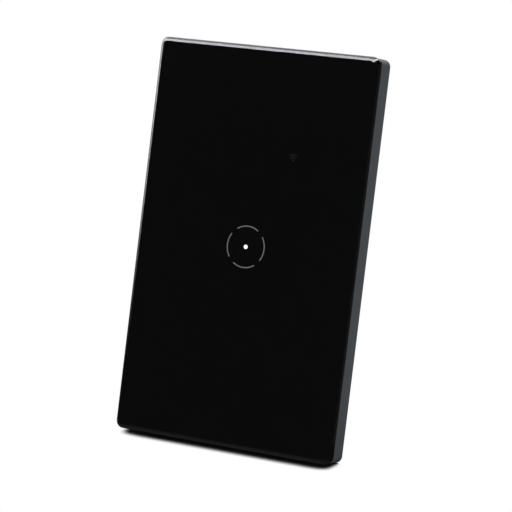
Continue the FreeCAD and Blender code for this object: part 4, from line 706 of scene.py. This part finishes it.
def lit_ink(name, colour, glow_colour, strength):
    """Milky ink with a lamp behind it."""
    material, tree, shader = finish(name, colour, 0.5)
    shader.inputs["Specular IOR Level"].default_value = 0.0
    shader.inputs["Emission Color"].default_value = (*glow_colour, 1)
    shader.inputs["Emission Strength"].default_value = strength
    tinted(tree, shader, cloudy(tree, INK_GRAIN), [c * 0.9 for c in colour], colour)
    return material


def narrowed(material, radius, widths, x=0.0, z=0.0):
    """Lets the glow fall off beside a circle, evenly from the first of two widths to the second."""
    core, edge = widths
    tree = material.node_tree
    strength = tree.nodes["Principled BSDF"].inputs["Emission Strength"]
    reach = tree.nodes.new("ShaderNodeVectorMath")
    reach.operation = "DISTANCE"
    reach.inputs[1].default_value = (x, INK_FRONT, z)
    tree.links.new(tree.nodes.new("ShaderNodeTexCoord").outputs["Object"], reach.inputs[0])
    off = reckoned(tree, "ABSOLUTE", reckoned(tree, "SUBTRACT", reach.outputs["Value"], radius))
    fall = tree.nodes.new("ShaderNodeMapRange")
    fall.inputs["From Min"].default_value = edge
    fall.inputs["From Max"].default_value = core
    fall.inputs["To Max"].default_value = strength.default_value
    tree.links.new(off, fall.inputs["Value"])
    tree.links.new(fall.outputs["Result"], strength)


ring_ink = lit_ink("ring_ink", (0.008, 0.008, 0.008), (0.93, 1, 1), 0.185)
narrowed(ring_ink, RING_R, RING_GLOW)
dot_ink = lit_ink("dot_ink", (0.02, 0.02, 0.02), (1, 1, 1), 1.95)
narrowed(dot_ink, 0, DOT_GLOW)
for k in range(4):
    arc = ink_arc(f"ring_window_{k + 1}", RING_R, RING_STROKE, k * math.pi / 2, RING_ARC)
    placed(arc, "front_panel", "milky", ring_ink)
placed(ink_dot("dot_window", DOT_R), "front_panel", "milky", dot_ink)
for k, radius in enumerate(SYMBOL_RADII):
    symbol_ink = lit_ink(f"symbol_ink_{k + 1}", (0.008, 0.009, 0.009), (0.9, 1, 0.95), 0.019)
    glow_radius = max(radius - SYMBOL_GLOW_IN, SYMBOL_GLOW_LEAST)
    narrowed(symbol_ink, glow_radius, SYMBOL_GLOW, SYMBOL_X, SYMBOL_Z)
    if k == 0:
        mark = ink_dot("symbol_dot", SYMBOL_DOT_R, SYMBOL_X, SYMBOL_Z)
    else:
        name = f"symbol_window_{k}"
        mark = ink_arc(name, radius, SYMBOL_STROKE, math.pi / 2, SYMBOL_ARC, SYMBOL_X, SYMBOL_Z)
    placed(mark, "front_panel", "milky", symbol_ink)

# Glass panel. Tempered glass, 3 mm, with a ground and polished bevel round its front edge. Its edges are
# eased with a light arris, so every edge catches the light in a thin line.
GLASS_W, GLASS_H, GLASS_CORNER = 72 * MM, 118 * MM, 2.3 * MM
GLASS_FRONT, GLASS_REAR = -9.65 * MM, -6.64 * MM
BEVEL, BEVEL_CROWN = 1.28 * MM, 0.043 * MM
REAR_ARRIS, EASE, EASE_STEPS = 0.1 * MM, 0.07 * MM, 3


def eased(corners, ease):
    """A profile of straight runs with round corners. Each corner's arc has the radius ease and touches both
    runs. Gives its points (reach, y) and their outward normals, a quarter turn left of the run."""
    corners = np.array(corners, float)
    runs = np.diff(corners, axis=0)
    runs /= np.linalg.norm(runs, axis=1)[:, None]
    sides = np.stack([-runs[:, 1], runs[:, 0]], 1)
    points, normals = [corners[:1]], [sides[:1]]
    for k in range(len(runs) - 1):
        before, after = runs[k], runs[k + 1]
        turn = math.atan2(before[0] * after[1] - before[1] * after[0], before @ after)
        start = corners[k + 1] - before * ease * math.tan(abs(turn) / 2)
        bend = turn * np.linspace(0, 1, EASE_STEPS + 1)
        spin = np.stack([np.cos(bend), -np.sin(bend), np.sin(bend), np.cos(bend)], 1).reshape(-1, 2, 2)
        around = spin @ sides[k]
        centre = start + sides[k] * math.copysign(ease, turn)
        points.append(centre - around * math.copysign(ease, turn))
        normals.append(around)
    return np.concatenate([*points, corners[-1:]]), np.concatenate([*normals, sides[-1:]])


bevel_middle = (GLASS_CORNER - BEVEL / 2 + BEVEL_CROWN, GLASS_FRONT + BEVEL / 2 - BEVEL_CROWN)
glass_profile, glass_facing = eased(
    [
        (GLASS_CORNER - 2 * REAR_ARRIS, GLASS_REAR),
        (GLASS_CORNER - REAR_ARRIS, GLASS_REAR),
        (GLASS_CORNER, GLASS_REAR - REAR_ARRIS),
        (GLASS_CORNER, GLASS_FRONT + BEVEL),
        bevel_middle,
        (GLASS_CORNER - BEVEL, GLASS_FRONT),
        (GLASS_CORNER - BEVEL - 2 * EASE, GLASS_FRONT),
    ],
    EASE,
)
centre_x, centre_z, out_x, out_z = corner_walk(GLASS_W / 2, GLASS_H / 2, GLASS_CORNER, OUTLINE_STEPS)
glass_grid = carried(glass_profile, centre_x, centre_z, out_x, out_z)
glass_normals = carried(glass_facing, 0, 0, out_x, out_z)
bevelled_glass = skin("bevelled_glass", glass_grid, glass_normals)

clear_glass, tree, shader = finish("clear_glass", (0.72, 0.75, 0.74), 0.0)
shader.inputs["Transmission Weight"].default_value = 1.0
shader.inputs["IOR"].default_value = 1.52
placed(bevelled_glass, "front_panel", "glass", clear_glass, "glass_panel")

# Studio. The switch leans back on a white table. A wall of light bends from the left over the top, and dark
# sheets in front and below keep the glass black.

# The camera: the photo's view, from the front and right and a little above. The shift is where the middle
# of the glass lies from it: to the right, ahead and up.
VIEW_YAW = math.radians(-27.1036)
VIEW_DIP = math.radians(2.2279)
VIEW_ROLL = math.radians(6.9453)
VIEW_SHIFT = Vector((-3.8715, 724.437, 2.7227)) * MM
FOCAL_PIXELS, PHOTO_PIXELS = 2474.75, 512
SENSOR_WIDTH = 36

camera = linked("camera", bpy.data.cameras.new("camera"))
bpy.context.scene.camera = camera
camera.data.sensor_width = SENSOR_WIDTH
camera.data.lens = FOCAL_PIXELS / PHOTO_PIXELS * SENSOR_WIDTH
camera.data.clip_start = 0.01
tipped = Matrix.Rotation(VIEW_ROLL, 3, "Y") @ Matrix.Rotation(VIEW_DIP, 3, "X")
turned = tipped @ Matrix.Rotation(VIEW_YAW, 3, "Z")
right, ahead, up = turned
place = Vector((0, GLASS_FRONT, 0)) - turned.transposed() @ VIEW_SHIFT
camera.matrix_world = Matrix.Translation(place) @ Matrix((right, up, -ahead)).transposed().to_4x4()


def stage_sheet(name, points, faces, material):
    """A stage piece from points and faces."""
    mesh = bpy.data.meshes.new(name)
    mesh.from_pydata(points.tolist(), [], faces)
    mesh.materials.append(material)
    piece = linked(name, mesh)
    return piece


def shown_directly(tree):
    """1 for what the camera sees itself, in a mirror or through glass, and 0 for light on other things."""
    rays = tree.nodes.new("ShaderNodeLightPath")
    direct = reckoned(tree, "MAXIMUM", rays.outputs["Is Camera Ray"], rays.outputs["Is Transmission Ray"])
    return reckoned(tree, "MAXIMUM", direct, rays.outputs["Is Glossy Ray"])


def bare_material(name):
    """A new material without nodes, and its tree."""
    material = bpy.data.materials.new(name)
    material.use_nodes = True
    material.node_tree.nodes.clear()
    return material, material.node_tree


def mixed(tree, share, first, second):
    """A surface that goes from a first one to a second one with a share."""
    mix = tree.nodes.new("ShaderNodeMixShader")
    for term, socket in zip((share, first, second), mix.inputs):
        tree.links.new(term, socket)
    return mix.outputs[0]


# The table: white in the open, with the switch's own shadow in the nook where it stands. There the shadow
# is deepened by painted shadow: where occlusion finds the nook, the tone seen directly is near black.
LEAN = math.radians(14.85)
TABLE_DROP, TABLE_REACH = 56.73 * MM, 3.0
# Painted shadow: where the table is seen directly its tone is near black, darker than its light makes it.
TABLE_TONE, PAINTED_SHADOW_TONE = 0.8, 0.03
NOOK_REACH = 12 * MM
NOOK_DARK, NOOK_OPEN = 0.24, 0.53

table_white, tree = bare_material("table_white")
sky = tree.nodes.new("ShaderNodeAmbientOcclusion")
sky.samples = 16
sky.inputs["Distance"].default_value = NOOK_REACH
opened = tree.nodes.new("ShaderNodeMapRange")
opened.inputs["From Min"].default_value = NOOK_DARK
opened.inputs["From Max"].default_value = NOOK_OPEN
tree.links.new(sky.outputs["AO"], opened.inputs["Value"])
seen = shown_directly(tree)
open_white = reckoned(tree, "MULTIPLY", opened.outputs["Result"], seen)
# This paint holds the painted shadow: near black where seen directly, the table's white for light passed
# on.
paint_with_painted_shadow = tree.nodes.new("ShaderNodeBsdfDiffuse")
tone = reckoned(tree, "SUBTRACT", TABLE_TONE, reckoned(tree, "MULTIPLY", seen, TABLE_TONE - PAINTED_SHADOW_TONE))
tree.links.new(tone, paint_with_painted_shadow.inputs["Color"])
white = tree.nodes.new("ShaderNodeEmission")
white.inputs["Strength"].default_value = 1.0
lit = mixed(tree, open_white, paint_with_painted_shadow.outputs[0], white.outputs[0])
under = tree.nodes.new("ShaderNodeNewGeometry").outputs["Backfacing"]
clear = tree.nodes.new("ShaderNodeBsdfTransparent")
out = tree.nodes.new("ShaderNodeOutputMaterial")
tree.links.new(mixed(tree, under, lit, clear.outputs[0]), out.inputs["Surface"])


def flat_sheet(name, material, half, front, rear, drop):
    """A flat stage piece that leans as the table does, a drop below the switch's middle. It goes half its
    width to each side, and from front to rear along the table."""
    upward = np.array([0, -math.sin(LEAN), math.cos(LEAN)])
    backward = np.array([0, math.cos(LEAN), math.sin(LEAN)])
    sides = np.array([-half, half, half, -half])[:, None]
    reach = np.array([front, front, rear, rear])[:, None]
    corners = sides * (1, 0, 0) + reach * backward - drop * upward
    return stage_sheet(name, corners, [(0, 1, 2, 3)], material)


table = flat_sheet("table", table_white, TABLE_REACH, -TABLE_REACH, TABLE_REACH, TABLE_DROP)
table.visible_glossy = False


def glow(name, strength):
    """A material that only gives light."""
    material, tree = bare_material(name)
    light = tree.nodes.new("ShaderNodeEmission")
    light.inputs["Strength"].default_value = strength
    out = tree.nodes.new("ShaderNodeOutputMaterial")
    tree.links.new(light.outputs[0], out.inputs["Surface"])
    return material


def mirrored_only(piece):
    """Keeps a stage piece out of everything but reflections and the view through glass."""
    piece.visible_camera = False
    piece.visible_diffuse = False
    piece.visible_shadow = False


# The dark sheet: part of an upright cylinder round the front, with a floor
DARK_REACH, DARK_LOW, DARK_HIGH = 1.6, -1.2, 1.0
DARK_FROM, DARK_TO, DARK_COLUMNS = math.radians(150), math.radians(440), 60
turn = np.linspace(DARK_FROM, DARK_TO, DARK_COLUMNS)
rim = DARK_REACH * np.stack([np.cos(turn), np.sin(turn), 0 * turn], -1)
dark_points = np.concatenate([rim + (0, 0, DARK_LOW), rim + (0, 0, DARK_HIGH)])
foot = np.arange(len(rim) - 1)
dark_walls = np.stack([foot, foot + 1, len(rim) + foot + 1, len(rim) + foot], -1).tolist()
dark_floor = list(range(len(rim)))
mirrored_only(stage_sheet("dark_sheet", dark_points, [*dark_walls, dark_floor], glow("dark_felt", 0.055)))

# The foot cards: painted reflections of the table, which the lower edges mirror. They lie just under it,
# and are nearly black below the switch, as painted shadow for the table's shade there.
CARD_HALF, CARD_DROP = 46 * MM, TABLE_DROP + 0.5 * MM
CARD_FRONT, CARD_SEAM, CARD_REAR = -45 * MM, -22.5 * MM, 25 * MM
# The rear card's near black is painted shadow; the front card is the paler table before the switch.
FRONT_CARD_LIGHT, REAR_CARD_PAINTED_SHADOW = 0.11, 0.02
for name, front, rear, strength in (
    ("front_card", CARD_FRONT, CARD_SEAM, FRONT_CARD_LIGHT),
    ("rear_card", CARD_SEAM, CARD_REAR, REAR_CARD_PAINTED_SHADOW),
):
    painted_table_reflection = glow(f"{name}_face", strength)
    mirrored_only(flat_sheet(name, painted_table_reflection, CARD_HALF, front, rear, CARD_DROP))

# The light wall: part of a sphere round the switch. It turns up from the left over the top, brighter on
# its front half, and ends in a dark sheet over the right. Its turn is in degrees.
WALL_REACH, WALL_HALF, WALL_FADE, SEAM_WIDTH = 0.62, 0.36, 0.1, 0.06
WALL_FROM, WALL_TO, WALL_ROWS, WALL_COLUMNS = -16, 150, 167, 49
degrees = np.linspace(WALL_FROM, WALL_TO, WALL_ROWS)[:, None]
seam = np.interp(degrees, [0, 23, 63, 85], [0.45, 0.29, -0.04, -0.08])
light_at = [-9, -4.3, 0, 6, 8, 24, 50, 90, 104, 116, 119]
front_light = np.interp(degrees, light_at, [0.03, 0.3, 1.4, 2.3, 2.6, 4, 9, 9, 18, 20, 0])
rear_light = np.interp(degrees, light_at, [0.01, 0.03, 0.06, 0.1, 0.12, 1.65, 2.15, 2.4, 2.4, 2.4, 0])
wall_side = np.linspace(-WALL_HALF, WALL_HALF, WALL_COLUMNS)[None, :]
rear_share = np.clip(wall_side / SEAM_WIDTH + 0.5, 0, 1)
edge_fade = np.clip((WALL_HALF - abs(wall_side)) / WALL_FADE, 0, 1)
wall_light = (front_light * (1 - rear_share) + rear_light * rear_share) * edge_fade
wall_y = seam + wall_side
wall_out = np.sqrt(1 - wall_y**2)
wall_turn = np.radians(degrees)
wall_grid = WALL_REACH * np.stack([-wall_out * np.cos(wall_turn), wall_y, wall_out * np.sin(wall_turn)], -1)
ids = np.arange(WALL_ROWS * WALL_COLUMNS).reshape(WALL_ROWS, WALL_COLUMNS)
quads = np.stack([ids[:-1, :-1], ids[1:, :-1], ids[1:, 1:], ids[:-1, 1:]], -1).reshape(-1, 4)
wall_glow = glow("wall_glow", 1.0)
tree = wall_glow.node_tree
light = tree.nodes["Emission"]
light.inputs["Color"].default_value = (0.95, 0.94, 1.0, 1)
level = tree.nodes.new("ShaderNodeAttribute")
level.attribute_name = "glow"
tree.links.new(level.outputs["Fac"], light.inputs["Strength"])
light_wall = stage_sheet("light_wall", wall_grid.reshape(-1, 3), quads.tolist(), wall_glow)
light_wall.data.attributes.new("glow", "FLOAT", "POINT").data.foreach_set("value", wall_light.ravel())
mirrored_only(light_wall)
light_wall.visible_transmission = False

# The lamps: a strip high on the left, and a broad one high in front of the right


def lamp(name, spot, aim, width, height, radiance):
    """A soft rectangular lamp that gives off a radiance over its whole face, and isn't mirrored."""
    data = bpy.data.lights.new(name, "AREA")
    data.shape = "RECTANGLE"
    data.size, data.size_y = width, height
    data.energy = radiance * math.pi * width * height
    piece = linked(name, data)
    facing = (Vector(aim) - Vector(spot)).to_track_quat("-Z", "Y")
    piece.matrix_world = Matrix.Translation(Vector(spot)) @ facing.to_matrix().to_4x4()
    piece.visible_camera = False
    piece.visible_glossy = False


lamp("strip_lamp", (-0.30, -0.06, 0.62), (0, 0, 0.05), 0.5, 0.16, 9.0)
lamp("front_lamp", (0.9, -0.9, 0.9), (0, 0, 0), 0.8, 0.8, 1.0)

# The room: even light on the switch, a white backdrop, and plain tones in the picture
ROOM_LIGHT, BACKDROP_LIGHT = 0.7, 1.0


def white_air(tree, strength):
    """Even white light from all round."""
    air = tree.nodes.new("ShaderNodeBackground")
    air.inputs["Color"].default_value = (1, 1, 1, 1)
    air.inputs["Strength"].default_value = strength
    return air.outputs[0]


world = bpy.data.worlds.new("studio")
bpy.context.scene.world = world
world.use_nodes = True
tree = world.node_tree
tree.nodes.clear()
room, backdrop = white_air(tree, ROOM_LIGHT), white_air(tree, BACKDROP_LIGHT)
out = tree.nodes.new("ShaderNodeOutputWorld")
tree.links.new(mixed(tree, shown_directly(tree), room, backdrop), out.inputs["Surface"])
bpy.context.scene.view_settings.view_transform = "Standard"
